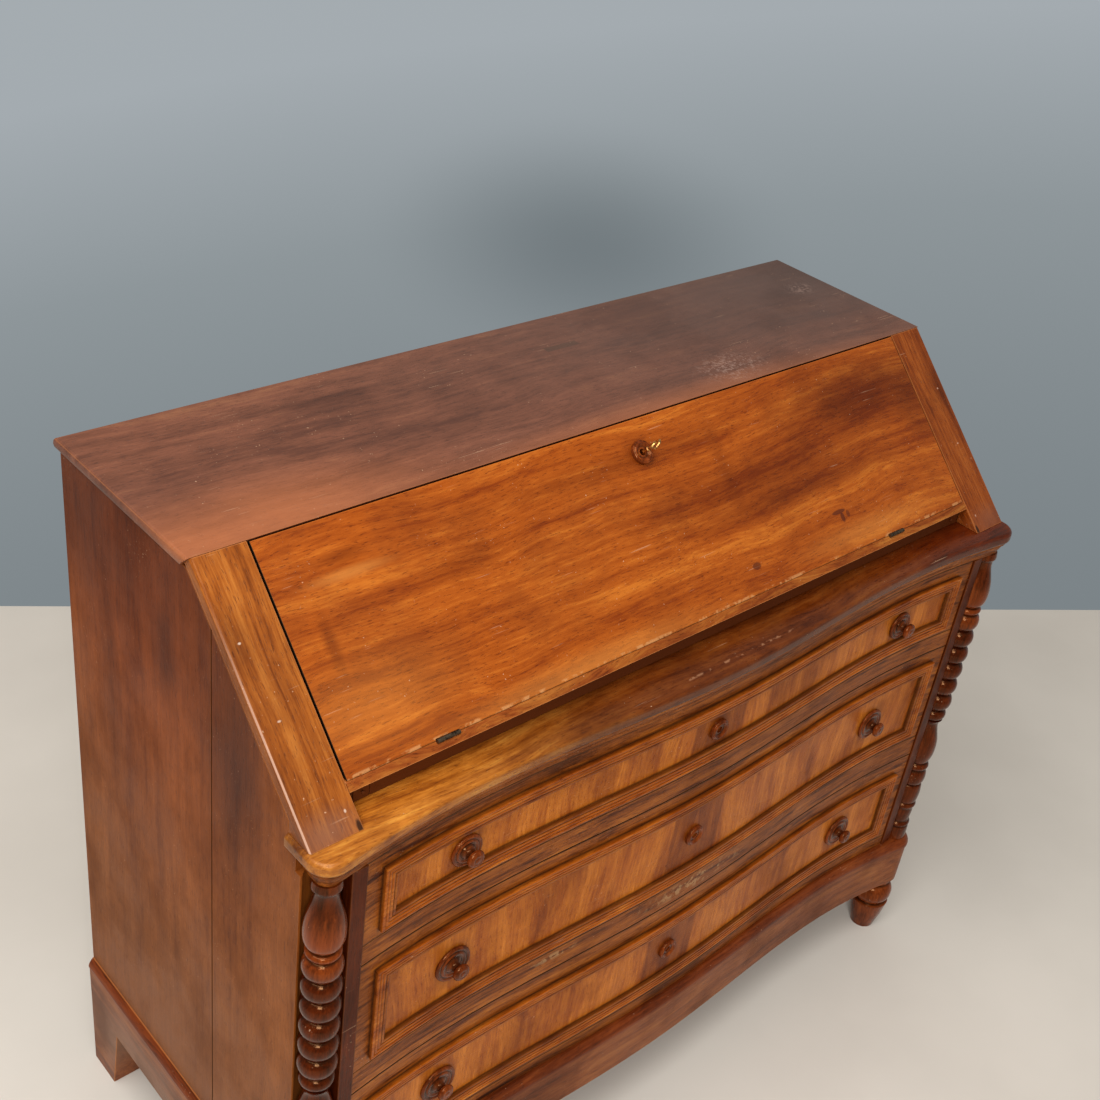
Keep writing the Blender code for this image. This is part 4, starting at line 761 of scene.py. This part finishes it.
def mirrored(groups, side):
    """The same marks on the right, or on the left where side is -1."""
    return [(shade, how, [(side * x, *rest) for x, *rest in rows]) for shade, how, rows in groups]


def stain(tree, place, colour, groups, lay_out=in_room):
    """Stains, wear or dirt: groups of marks of one shade, laid on in one way."""
    for shade, how, rows in groups:
        for centre, radii, share, soft in lay_out(rows):
            colour = tint(tree, colour, spot(tree, place, centre, radii, soft), share, shade, how)
    return colour


def stain_both(tree, place, colour, groups, lay_out=in_room):
    """The same marks on the left and on the right."""
    for side in (-1, 1):
        colour = stain(tree, place, colour, mirrored(groups, side), lay_out)
    return colour


def chipped(tree, place, fine):
    """Small ragged chips, so many to the metre, for breaking up the rim of a worn place."""
    return add(tree, "step", add(tree, "noise", place, fine, *CHIP_NOISE), *CHIP_LEVELS)


def make_wood(name, wood, grain, marks=(), under=None, over=None, shift=0.0, depth=RELIEF):
    """A wood in its polish: marks on both sides, then under adds to the bare wood's colour and over
    to the polished colour."""
    material, tree, place = begin(name)
    colour, relief, _ = walnut(tree, place, wood, grain, shift)
    colour = stain_both(tree, place, colour, marks)
    if under:
        colour = under(tree, place, colour)
    colour, roughness, relief = shellac(tree, place, wood, colour, relief)
    if over:
        colour = over(tree, place, colour)
    # grooves darkened with grime and painted shade
    if wood in GROOVE_DIRT_AND_SHADE_SHARES:
        colour = tint(tree, colour, add(tree, "hollow"), GROOVE_DIRT_AND_SHADE_SHARES[wood], GROOVE_DIRT_AND_SHADE)
    close_wood(tree, wood, colour, roughness, relief, depth)
    return material


def make_case_walnut():
    """Side boards of polished walnut, grain upright: deep brown with dark clouds and painted shade under the
    top's overhang, duller than the front.
    """
    def joints(tree, place, colour):
        for side in (-CASE_HALF_WIDTH, CASE_HALF_WIDTH):
            joint = patch(tree, place, world(side, JOINT_DEPTH, JOINT_MIDDLE),
                          (JOINT_REACH, JOINT_HALF, 1.0), JOINT_HALF)
            colour = tint(tree, colour, joint, JOINT_SHARE, SEAM_SHADE)
        return colour
    return make_wood("case walnut, worn shellac", "case", GRAIN_Z, CASE_MARKS, over=joints)


def either(tree, place, rows):
    """Two spots taken as one mask."""
    masks = [spot(tree, place, centre, radii, soft) for centre, radii, _, soft in in_room(rows)]
    return add(tree, "larger", *masks)


def make_top_walnut():
    """The top board: reddish walnut along the length, purplish in its aged haze, with a painted grey-purple
    sheen over the right back, and satin from handling.
    """
    def wear(tree, place, colour):
        colour = stain(tree, place, colour, TOP_MARKS)
        scuffs = either(tree, place, TOP_SCUFFS)
        pale = add(tree, "times", chipped(tree, place, TOP_CHIPS), scuffs)
        colour = tint(tree, colour, pale, SCUFF_SHARE, "#b8998c")
        let_in = patch(tree, place, world(*LET_IN_PLACE), LET_IN_HALF, LET_IN_SOFT)
        return tint(tree, colour, let_in, LET_IN_SHARE, "#4a362c")
    return make_wood("top walnut, rubbed shellac", "top", GRAIN_X, under=wear)


def slope_box(tree, place, down, half_width, half, soft):
    """A box of finish across the sloping front, so far down it."""
    return patch(tree, place, on_slant(0.0, down), (half_width, half, half), soft)


def make_fall_walnut():
    """The fall: one wide orange-brown board along the length, with dark stains, a pale worn foot, and painted
    shade in the gaps along its foot and sides.
    """
    def stains(tree, place, colour):
        return stain(tree, place, colour, FALL_MARKS, on_slope)

    def edges(tree, place, colour):
        # painted shade in the gap between the fall's foot and the sill
        foot = slope_box(tree, place, FALL_LENGTH, FALL_HALF_WIDTH, FOOT_DARK, FOOT_DARK_SOFT)
        colour = tint(tree, colour, foot, FOOT_DARK_SHARE, "#24120a")
        rim = slope_box(tree, place, FALL_LENGTH - RIM_UP, FALL_HALF_WIDTH, RIM_HALF, RIM_SOFT)
        rim = add(tree, "times", rim, chipped(tree, place, RIM_CHIPS))
        colour = tint(tree, colour, rim, RIM_SHARE, "#c08a58")
        # the fall's side edges painted dark: painted shade in the gaps beside the stiles
        inside = slope_box(tree, place, FALL_LENGTH / 2, FALL_HALF_WIDTH - FALL_DARK, 1.0, FALL_DARK / 2)
        colour = add(tree, "mix", add(tree, "step", inside, 0.0, 1.0, 1.0, 0.0), colour, GAP_SHADE)
        return stain(tree, place, colour, FALL_SPILLS, on_slope)
    return make_wood("fall walnut, glossy shellac", "fall", GRAIN_X, (), stains, edges)


def above_slope(tree, place):
    """How far a place lies out of the sloping front."""
    away = add(tree, "vector less", place, on_slant(0.0, FALL_LENGTH))
    return add(tree, "vector along", away, (0.0, -math.sin(SLANT), math.cos(SLANT)))


def make_sill_walnut():
    """The sill under the fall: brown like the fall on its slope, painted dark below the nose for the shade
    that falls there.
    """
    def shade_below_nose(tree, place, colour):
        # painted shade on the riser under the nose
        nose = add(tree, "step", above_slope(tree, place), *SILL_LEVELS)
        return add(tree, "mix", nose, SILL_PAINTED_SHADE, colour)
    return make_wood("sill walnut, polished above, painted shade below", "sill", GRAIN_X, over=shade_below_nose)


def make_stile_walnut():
    """The two boards beside the fall, grain along the slope, greyed and split at the foot. Their
    rounded outer edges are rubbed through to pale wood and carry a painted highlight, most of all low down."""
    def marks(tree, place, colour):
        for side, groups in ((-1, STILE_MARKS), (1, STILE_MARKS + RIGHT_STILE_MARKS)):
            colour = stain(tree, place, colour, mirrored(groups + STILE_SPLITS, side), on_slope)
        return colour

    def edges(tree, place, colour):
        # pale line on the outer arris: wear and a painted highlight
        inner = slope_box(tree, place, FALL_LENGTH / 2, CASE_HALF_WIDTH - ARRIS_RUB_AND_HIGHLIGHT, 1.0, RUB_AND_HIGHLIGHT_SOFT)
        upper = add(tree, "step", above_slope(tree, place), -ARRIS_RUB_AND_HIGHLIGHT - RUB_AND_HIGHLIGHT_SOFT, RUB_AND_HIGHLIGHT_SOFT - ARRIS_RUB_AND_HIGHLIGHT)
        low = spot(tree, place, on_slant(0.0, FALL_LENGTH), ARRIS_RADII, ARRIS_SOFT)
        share = add(tree, "times", add(tree, "times", upper, low),
                    add(tree, "step", inner, 0.0, 1.0, ARRIS_SHARE, 0.0))
        colour = add(tree, "mix", share, colour, "#deb8a2")
        # painted shade in the gap along the stile's inner edge beside the fall
        gap = slope_box(tree, place, FALL_LENGTH / 2, FALL_HALF_WIDTH + FALL_DARK, 1.0, STILE_GAP_SOFT)
        return add(tree, "mix", gap, colour, GAP_SHADE)
    return make_wood("stile walnut, polished", "stile", GRAIN_SLOPE, (), marks, edges)


def make_ledge_walnut():
    """The ledge: golden at its left end, dark red-brown and shiny along its middle, scratched in front."""
    def wear(tree, place, colour):
        colour = stain(tree, place, colour, LEDGE_MARKS)
        scratch = patch(tree, place, world(*SCRATCH_PLACE), SCRATCH_HALF, SCRATCH_SOFT)
        scratch = add(tree, "times", scratch, chipped(tree, place, SCRATCH_CHIPS))
        return tint(tree, colour, scratch, SCRATCH_SHARE, "#a87858")
    return make_wood("ledge walnut, glossy shellac", "ledge", GRAIN_X, under=wear)


def make_dark_veneer():
    """Rails and frieze: dark straight walnut veneer, black streaks beside warm blotches, chipped pale
    in places."""
    material, tree, place = begin("dark walnut veneer")
    colour, roughness, relief = dark_leaves(tree, place)
    chips = add(tree, "times", either(tree, place, RAIL_CHIPPED), chipped(tree, place, RAIL_CHIPS))
    colour = tint(tree, colour, chips, CHIPPED_SHARE, "#c09a6c")
    close_wood(tree, "dark", seams(tree, place, colour), roughness, relief)
    return material


def dark_leaves(tree, place):
    """The straight dark veneer that the rails and the drawers' margins share."""
    colour, relief, along = walnut(tree, place, "dark", GRAIN_X)
    black = add(tree, "step", streaks(tree, along, *BLACK_STREAKS), *BLACK_LEVELS)
    colour = add(tree, "darken", black, colour, "#7c4a2a")
    return shellac(tree, place, "dark", colour, relief)


def seams(tree, place, colour):
    """Painted shade in the gaps, with grime, where a drawer meets the rails above and below it."""
    for z in SEAMS:
        # painted shade and grime along the gap
        line = patch(tree, place, (0.0, 0.0, z), (1.0, 1.0, SEAM_HALF), SEAM_HALF)
        colour = tint(tree, colour, line, SEAM_SHARE, SEAM_SHADE)
    return colour


def make_post_walnut():
    """The narrow posts beside the drawers, grain upright and dark."""
    return make_wood("post walnut, polished", "post", GRAIN_Z)


def frame_box(tree, place, low, high, grown, soft):
    """A box of finish as large as a drawer's moulding frame, grown so far on each side."""
    middle = world(0.0, FACE_FLANK, (low + high) / 2)
    return patch(tree, place, middle, (FRAME_HALF_WIDTH + grown, MARK_REACH, (high - low) / 2 + grown), soft)


def make_drawer_veneer(low, high):
    """A drawer front: inside its moulding golden walnut laid upright and matched about the middle,
    with a dark leaf at the keyhole; outside it dark veneer along the length."""
    material, tree, place = begin("drawer front veneer, matched leaves")
    x, y, z = add(tree, "parts", place).node.outputs
    matched = add(tree, "whole", add(tree, "unsigned", x), y, z)
    golden, relief, along = walnut(tree, matched, "drawer", GRAIN_Z, low)
    flame = add(tree, "step", streaks(tree, along, *FLAMES), *FLAME_LEVELS)
    golden = add(tree, "darken", flame, golden, "#9a6a48")
    middle = (low + high) / 2
    leaf = patch(tree, place, world(LEAF_X, FACE_FLANK, middle), LEAF_HALF, LEAF_SOFT)
    golden = tint(tree, golden, leaf, LEAF_SHARE, "#8e6648", "darken")
    # painted shadow and handling grime round the knobs
    knob_shadow_and_handling = (("#5c4030", "darken", ((KNOB_X, FACE_FLANK, middle, *KNOB_SHADOW_AND_HANDLING),)),)
    golden = stain_both(tree, place, golden, knob_shadow_and_handling)
    dark, _, dark_relief = dark_leaves(tree, place)
    inside = frame_box(tree, place, low, high, -FRAME_WIDTH / 2, VENEER_SOFT)
    # painted contact shade and grime along the moulding's outer edge
    dark = tint(tree, dark, frame_box(tree, place, low, high, SHADE_AND_GRIME_REACH, SHADE_AND_GRIME_REACH), OUTER_SHADE_AND_GRIME_SHARE, "#2a1810")
    golden, roughness, relief = shellac(tree, place, "drawer", golden, relief, low * 10)
    # painted shade and grime in the panel's corner inside the moulding
    rim = frame_box(tree, place, low, high, -FRAME_WIDTH - SHADE_AND_GRIME_REACH, SHADE_AND_GRIME_REACH)
    golden = add(tree, "mix", add(tree, "step", rim, 0.0, 1.0, INNER_SHADE_AND_GRIME_SHARE, 0.0), golden, "#3a2012")
    colour = add(tree, "mix", inside, seams(tree, place, dark), golden)
    close_wood(tree, "drawer", colour, roughness, add(tree, "plus", relief, dark_relief))
    return material


def make_moulding_walnut():
    """Mouldings: straight orange-brown walnut, bright on the high lines and darkened between them by grime
    and painted shade.
    """
    return make_wood("moulding walnut, rubbed bright", "moulding", GRAIN_X)


def make_plinth_walnut(grain, shift):
    """The plinth: golden brown with a redder moulding along its top edge, greyer low down."""
    def bead(tree, place, colour):
        top = patch(tree, place, world(0.0, BEAD_DEPTH, PLINTH_TOP), (1.0, 1.0, PLINTH_MOULDING), BEAD_SOFT)
        return tint(tree, colour, top, BEAD_SHARE, "#c47a4c", "darken")
    return make_wood("plinth walnut, worn shellac", "plinth", grain, PLINTH_MARKS, bead, shift=shift)


def make_turned_walnut():
    """Turned pieces, stained reddish dark and polished on the lathe, with bright gloss."""
    return make_wood("turned walnut, dark polish", "turned", GRAIN_Z, TURNED_MARKS, depth=LATHE_RELIEF)


def make_inner_wood():
    """Inside boards of plain planed softwood, darkened with age."""
    return make_wood("inner softwood, bare and aged", "inner", GRAIN_X)


def make_old_metal(name, hex_bright, hex_dull, rough):
    """Cast or wrought metal with age: dull film in clouds, brighter where fingers rub."""
    material, tree, place = begin(name)
    film = add(tree, "noise", place, *FILM)
    colour = add(tree, "mix", add(tree, "step", film, *FILM_LEVELS), hex_bright, hex_dull)
    roughness = add(tree, "step", film, *FILM_DULL_LEVELS, rough, rough + FILM_DULL)
    close(tree, colour, roughness, film, METAL_RELIEF, Metallic=1.0)
    return material


MATERIALS = {
    "case": make_case_walnut(), "top": make_top_walnut(), "fall": make_fall_walnut(),
    "sill": make_sill_walnut(), "stile": make_stile_walnut(), "ledge": make_ledge_walnut(),
    "dark": make_dark_veneer(), "post": make_post_walnut(), "moulding": make_moulding_walnut(),
    "plinth": make_plinth_walnut(GRAIN_X, 8.6), "plinth side": make_plinth_walnut(GRAIN_Y, 6.4),
    "turned": make_turned_walnut(), "inner": make_inner_wood(),
    "brass": make_old_metal("old brass, handled", "#e2b468", "#94643a", 0.22),
    "iron": make_old_metal("wrought iron, dark", "#6a5c4c", "#2c241d", 0.42),
}
for drawer, (low, high) in FRAME_HEIGHTS.items():
    MATERIALS[drawer] = make_drawer_veneer(low, high)


# Boards of the frame with their edges rubbed

def make_boards():
    """Every board that keeps its sawn shape: its node, its slot and its finish."""
    plain = {
        "top_board": ("top_walnut", "top"), "side_left": ("case_walnut", "case"),
        "side_right": ("case_walnut", "case"), "stile_left": ("fall_walnut", "stile"),
        "stile_right": ("fall_walnut", "stile"), "fall_board": ("fall_walnut", "fall"),
        "sill_rail": ("fall_walnut", "sill"), "front_post_left": ("rail_veneer", "post"),
        "front_post_right": ("rail_veneer", "post"), "upper_divider": ("rail_veneer", "dark"),
        "lower_divider": ("rail_veneer", "dark"), "bottom_board": ("rail_veneer", "dark"),
        "plinth_left": ("case_walnut", "plinth side"), "plinth_right": ("case_walnut", "plinth side"),
        "back_panel": ("inner_wood", "inner"), "writing_floor": ("inner_wood", "inner"),
        "pigeonhole_gallery": ("inner_wood", "inner"), "small_drawer_left": ("inner_wood", "inner"),
        "small_drawer_right": ("inner_wood", "inner"), "fall_support_left": ("fall_walnut", "sill"),
        "fall_support_right": ("fall_walnut", "sill")}
    for drawer in FRAME_HEIGHTS:
        plain[drawer + "_drawer_front"] = ("front_veneer", drawer)
        plain[drawer + "_drawer_box"] = ("inner_wood", "inner")
        plain[drawer + "_drawer_bottom"] = ("inner_wood", "inner")
    for node, (slot, finish) in plain.items():
        worn_board(node, MATERIALS[finish])


def make_moulded_board(node, material, line, shape, back, z_low, z_high):
    """A board drawn to its plan and thickened, then its front edge moulded by the shape given."""
    outline = [world(x, depth, z_low) for x, depth in line]
    piece = draw(node + "_moulded", outline)
    bpy.ops.mesh.edge_face_add()
    bpy.ops.mesh.extrude_region_move(TRANSFORM_OT_translate={"value": (0.0, 0.0, z_high - z_low)})
    bpy.ops.mesh.select_all(action="SELECT")
    bpy.ops.mesh.normals_make_consistent(inside=False)
    shape(piece)
    close_piece(piece, True)
    for point in piece.data.vertices:
        if 0 < CENTRE_DEPTH - point.co.y - back < TIDY_REACH:
            point.co.y = CENTRE_DEPTH - back
    finish_piece(piece, node, material)


def step_in(piece, up, steps):
    """Works a flat end into a moulding: each step sets its rim in and carries it on."""
    pick(piece, lambda face: face.normal.z * up > LEVEL_SHARE)
    for inwards, onwards in steps:
        bpy.ops.mesh.inset(thickness=inwards, depth=onwards, use_even_offset=True)


def make_ledge():
    """The ledge runs back between the sides; only the edge that shows is rounded, above and below."""
    front = front_line(LEDGE_FLANK, LEDGE_BULGE, LEDGE_CORNER)
    line = [(-INNER_HALF_WIDTH, INNER_BACK), (-INNER_HALF_WIDTH, RETURN_DEPTH), (front[0][0], RETURN_DEPTH)]
    line += front
    line += [(front[-1][0], RETURN_DEPTH), (INNER_HALF_WIDTH, RETURN_DEPTH), (INNER_HALF_WIDTH, INNER_BACK)]

    def nose(piece):
        pick(piece, lambda edge: abs(edge.verts[0].co.z - edge.verts[1].co.z) < WELD
             and min(CENTRE_DEPTH - point.co.y for point in edge.verts) > RETURN_DEPTH - WELD
             and max(CENTRE_DEPTH - point.co.y for point in edge.verts) > RETURN_DEPTH + WELD, "EDGE")
        bpy.ops.mesh.bevel(offset=LEDGE_ROUND, segments=NOSE_STEPS, clamp_overlap=False)

    make_moulded_board("ledge_board", MATERIALS["ledge"], line, nose, INNER_BACK,
                       LEDGE_TOP - LEDGE_THICKNESS, LEDGE_TOP)


def squared(flank, bulge, corner, back):
    """The plan of a moulding's board: the moulded front line closed straight across the back."""
    line = front_line(flank, bulge, corner)
    return [(line[0][0], back)] + line + [(line[-1][0], back)]


def make_cornice():
    """The cove under the ledge, hollowed downwards from its board and set in behind the nosing."""
    high = LEDGE_TOP - LEDGE_THICKNESS - GAP
    set_in = CORNICE_REACH * CORNICE_SET_SHARE

    def cove(piece):
        step_in(piece, -1, [(CORNICE_REACH * a, CORNICE_HEIGHT * b) for a, b in CORNICE_SHARES])

    line = squared(LEDGE_FLANK - set_in, LEDGE_BULGE, LEDGE_CORNER - set_in, CORNICE_BACK)
    make_moulded_board("cornice_moulding", MATERIALS["dark"], line, cove, CORNICE_BACK,
                       high - CORNICE_HEIGHT * CORNICE_BOARD_SHARE, high)


def make_plinth_front():
    """The plinth's front board with the thumb moulding along its top edge."""
    base = PLINTH_TOP - PLINTH_MOULDING

    def thumb(piece):
        step_in(piece, 1, [(PLINTH_REACH * a, PLINTH_MOULDING * b) for a, b in PLINTH_SHARES])
        under = [(PLINTH_REACH * a, PLINTH_MOULDING * b) for a, b in PLINTH_UNDER_SHARES]
        step_in(piece, -1, under + [(0.0, base - PLINTH_FOOT)])

    line = squared(PLINTH_FLANK, BULGE, PLINTH_CORNER, PLINTH_BACK)
    low, high = [base + PLINTH_MOULDING * share for share in PLINTH_BOARD_SHARES]
    make_moulded_board("plinth_front", MATERIALS["plinth"], line, thumb, PLINTH_BACK,
                       low, high)


def make_drawer_frames():
    """The moulding planted on each drawer front: its outline is laid flat, worked in step by step
    to the profile, thickened and bent to the front's curve."""
    for drawer, (low, high) in FRAME_HEIGHTS.items():
        middle = (low + high) / 2
        bpy.ops.object.select_all(action="DESELECT")
        bpy.ops.mesh.primitive_plane_add(size=1.0, location=(0.0, 0.0, middle),
                                         rotation=(math.pi / 2, 0.0, 0.0))
        piece = bpy.context.object
        piece.name = drawer + "_frame"
        bpy.ops.transform.resize(value=(FRAME_HALF_WIDTH * 2, 1.0, high - low))
        bpy.ops.object.transform_apply(location=True, rotation=True, scale=True)
        open_piece(piece)
        bpy.ops.mesh.select_all(action="SELECT")
        lift = (0.0, -FRAME_PROUD * FRAME_SHARES[0][1], 0.0)
        bpy.ops.mesh.extrude_region_move(TRANSFORM_OT_translate={"value": lift})
        for (a, u), (b, v) in zip(FRAME_SHARES, FRAME_SHARES[1:]):
            bpy.ops.mesh.inset(thickness=FRAME_WIDTH * (b - a), depth=FRAME_PROUD * (v - u),
                               use_even_offset=True)
        bpy.ops.mesh.delete(type="FACE")
        pick(piece, lambda face: abs(face.normal.y) > FLAT_SHARE and face.calc_area() > WIDE_FACE)
        bpy.ops.mesh.delete(type="ONLY_FACE")
        for x in spread(-FRAME_HALF_WIDTH, FRAME_HALF_WIDTH, SWEEP)[1:-1]:
            bpy.ops.mesh.select_all(action="SELECT")
            bpy.ops.mesh.bisect(plane_co=(x, 0.0, 0.0), plane_no=(1.0, 0.0, 0.0))
        close_piece(piece)
        # the low parts of the profile are marked for grime and painted shade
        grime_and_shade = piece.data.attributes.new("hollow", "FLOAT", "POINT")
        for i, point in enumerate(piece.data.vertices):
            grime_and_shade.data[i].value = min(1.0, max(0.0, (REED_HIGH + point.co.y / FRAME_PROUD) / REED_DEEP))
            point.co.y += CENTRE_DEPTH - GAP - stand(point.co.x)
        finish_piece(piece, drawer + "_drawer_moulding", MATERIALS["moulding"])


# Turned pieces

def bobbin(radius, top, pitch):
    """One bead of the column: a flattened half round between two grooves."""
    round_shares = [math.sqrt(max(0.0, 1 - (2 * share - 1) ** 2)) for share in BEAD_SHARES]
    return [(radius * (GROOVE_SHARE + (1 - GROOVE_SHARE) * swell), top - pitch * share)
            for share, swell in zip(BEAD_SHARES, round_shares)]


def column_profile():
    """Cap and vase at the top, bobbins, then the long turned foot."""
    crown = [(COLUMN_RADIUS * r, COLUMN_HEIGHT * (1 - drop)) for drop, r in COLUMN_TOP_SHARES]
    base = [(COLUMN_RADIUS * r, COLUMN_HEIGHT * (1 - drop)) for drop, r in COLUMN_FOOT_SHARES]
    pitch = (crown[-1][1] - base[0][1]) * BOBBIN_SHARE
    profile = [(0.0, COLUMN_HEIGHT)] + ease(crown)
    for i in range(BOBBINS):
        profile += bobbin(COLUMN_RADIUS, crown[-1][1] - i * pitch, pitch)[i == 0:]
    start = crown[-1][1] - BOBBINS * pitch
    profile += bobbin(COLUMN_RADIUS * math.sqrt(COLUMN_FOOT_SHARES[0][1]), start, start - base[0][1])
    return profile + ease(base) + [(0.0, 0.0)]


def turn_pair(name, node, profile, x, depth, z, axis, steps=TURN_STEPS):
    """Two alike, left and right: one is turned and the other is its copy, moved across."""
    left = turn(name + "_turned_left", profile, world(-x, depth, z), axis, steps)
    right = bpy.data.objects.new(name + "_turned_right", left.data.copy())
    bpy.context.scene.collection.objects.link(right)
    right.data.transform(Matrix.Translation((2 * x, 0.0, 0.0)))
    for piece, side in ((left, "_left"), (right, "_right")):
        finish_piece(piece, node + side, MATERIALS["turned"])


def make_columns():
    """The two corner columns, each turned from one length of wood."""
    turn_pair("column", "column", column_profile(), COLUMN_X, COLUMN_DEPTH, COLUMN_FOOT, UPWARDS)


def make_front_feet():
    """The two turned feet under the front corners."""
    outline = [(FOOT_RADIUS * r, FOOT_HEIGHT * (1 - drop)) for drop, r in FOOT_SHARES]
    profile = [(0.0, FOOT_HEIGHT)] + ease(outline) + [(0.0, 0.0)]
    turn_pair("front_foot", "front_foot", profile, FOOT_X, FOOT_DEPTH, 0.0, UPWARDS)


def make_knobs():
    """Two knobs on each drawer, every one turned in one piece with its dished plate."""
    for drawer, (low, high) in FRAME_HEIGHTS.items():
        plate = [(PLATE_RADII[drawer] * r, KNOB_LENGTH * h) for h, r in PLATE_SHARES]
        stem = [(KNOB_HEAD * r, KNOB_LENGTH * h) for h, r in KNOB_SHARES]
        profile = [(0.0, 0.0)] + ease(plate) + ease(stem) + [(0.0, stem[-1][1])]
        turn_pair(drawer + "_knob", drawer + "_drawer_knob", profile, KNOB_X, stand(KNOB_X) + 3 * GAP,
                  (low + high) / 2, FORWARDS, SMALL_STEPS)


def make_ring(name, node, radius, foot, axis):
    """A turned ring round a keyhole."""
    outside = ease([(radius * r, RING_HEIGHT * h) for h, r in RING_SHARES])
    profile = outside + [(KEYHOLE, outside[-1][1]), (KEYHOLE, 0.0), outside[0]]
    piece = turn(name, profile, foot, axis, SMALL_STEPS)
    finish_piece(piece, node, MATERIALS["turned"])


def make_rings():
    """A keyhole ring on each drawer and one on the fall."""
    for drawer, (low, high) in FRAME_HEIGHTS.items():
        foot = world(0.0, stand(0.0) + GAP, (low + high) / 2)
        make_ring(drawer + "_ring_turned", drawer + "_drawer_escutcheon", DRAWER_RING, foot, FORWARDS)
    out = (0.0, -math.sin(SLANT), math.cos(SLANT))
    make_ring("fall_ring_turned", "fall_escutcheon", FALL_RING, on_slant(0.0, RING_ALONG, GAP), out)


def give_metal():
    """Locks, hinges and the key keep the shape of the frame and get their metal."""
    for name, node in frame["nodes"].items():
        if node.hide_render:
            continue
        brass = name in ("fall_lock", "fall_key")
        node.data.materials.clear()
        node.data.materials.append(MATERIALS["brass" if brass else "iron"])


def make_stage():
    """A plain pale floor that ends where the wall would stand, and soft lamps above and to the left."""
    middle = Vector(FLOOR_EDGE) - Vector(FLOOR_AWAY) * (FLOOR_DEEP / 2)
    bpy.ops.object.select_all(action="DESELECT")
    bpy.ops.mesh.primitive_plane_add(size=1.0, location=middle,
                                     rotation=(0, 0, math.atan2(FLOOR_ACROSS[1], FLOOR_ACROSS[0])))
    floor = bpy.context.object
    floor.name = "studio_floor"
    bpy.ops.transform.resize(value=(FLOOR_LONG, FLOOR_DEEP, 1.0), orient_type="LOCAL")
    bpy.ops.object.transform_apply(location=True, rotation=True, scale=True)
    floor.data.materials.append(make_floor_finish())
    make_backdrop()
    for name, place, size, power in LAMPS:
        light = bpy.data.lights.new(name, "AREA")
        light.size = size
        light.energy = power
        light.color = LAMP_COLOUR
        lamp = bpy.data.objects.new(name, light)
        bpy.context.scene.collection.objects.link(lamp)
        lamp.location = place
        lamp.rotation_euler = (Vector(LAMP_AIM) - Vector(place)).to_track_quat("-Z", "Y").to_euler()


def make_floor_finish():
    """Painted screed: matt and pale, faintly mottled."""
    material, tree, place = begin("studio floor, matt pale")
    mottle = add(tree, "noise", place, *MOTTLE)
    colour = add(tree, "mix", add(tree, "step", mottle, *MOTTLE_LEVELS), "#cdc8c1", "#d6d1ca")
    roughness = add(tree, "step", mottle, *MOTTLE_LEVELS, *FLOOR_DULL)
    close(tree, colour, roughness, mottle, 0.0, Specular_IOR_Level=FLOOR_GLOSS)
    return material


def make_backdrop():
    """The room: grey-blue low down, where the camera sees it, painted paler up towards the left where a lamp
    falls on the wall, with a painted soft shadow; warm grey above.
    """
    room = bpy.data.worlds.new("studio backdrop")
    bpy.context.scene.world = room
    room.use_nodes = True
    tree = room.node_tree
    place = add(tree, "way seen")
    rise = add(tree, "step", add(tree, "vector along", place, WALL_RISE), *WALL_LEVELS)
    wall = add(tree, "ramp", rise, stops=WALL_STOPS)
    wall = tint(tree, wall, spot(tree, place, SHADOW_CENTRE, SHADOW_RADII, 1.0), SHADOW_SHARE, "#5f686c")
    tree.links.new(wall, tree.nodes["Background"].inputs[0])


def make_camera():
    """The camera as solved from the photo's edges."""
    level = math.cos(CAMERA_PITCH)
    ahead = Vector((math.sin(CAMERA_YAW) * level, math.cos(CAMERA_YAW) * level, -math.sin(CAMERA_PITCH)))
    data = bpy.data.cameras.new("camera")
    data.sensor_width = SENSOR
    data.lens = LENS
    camera = bpy.data.objects.new("camera", data)
    bpy.context.scene.collection.objects.link(camera)
    turned = Matrix((CAMERA_RIGHT, CAMERA_UP, -ahead)).transposed().to_4x4()
    camera.matrix_world = Matrix.Translation(CAMERA_PLACE) @ turned
    bpy.context.scene.camera = camera
    bpy.context.scene.view_settings.view_transform = "Standard"


make_boards()
make_ledge()
make_cornice()
make_plinth_front()
make_drawer_frames()
make_columns()
make_front_feet()
make_knobs()
make_rings()
give_metal()
make_stage()
make_camera()
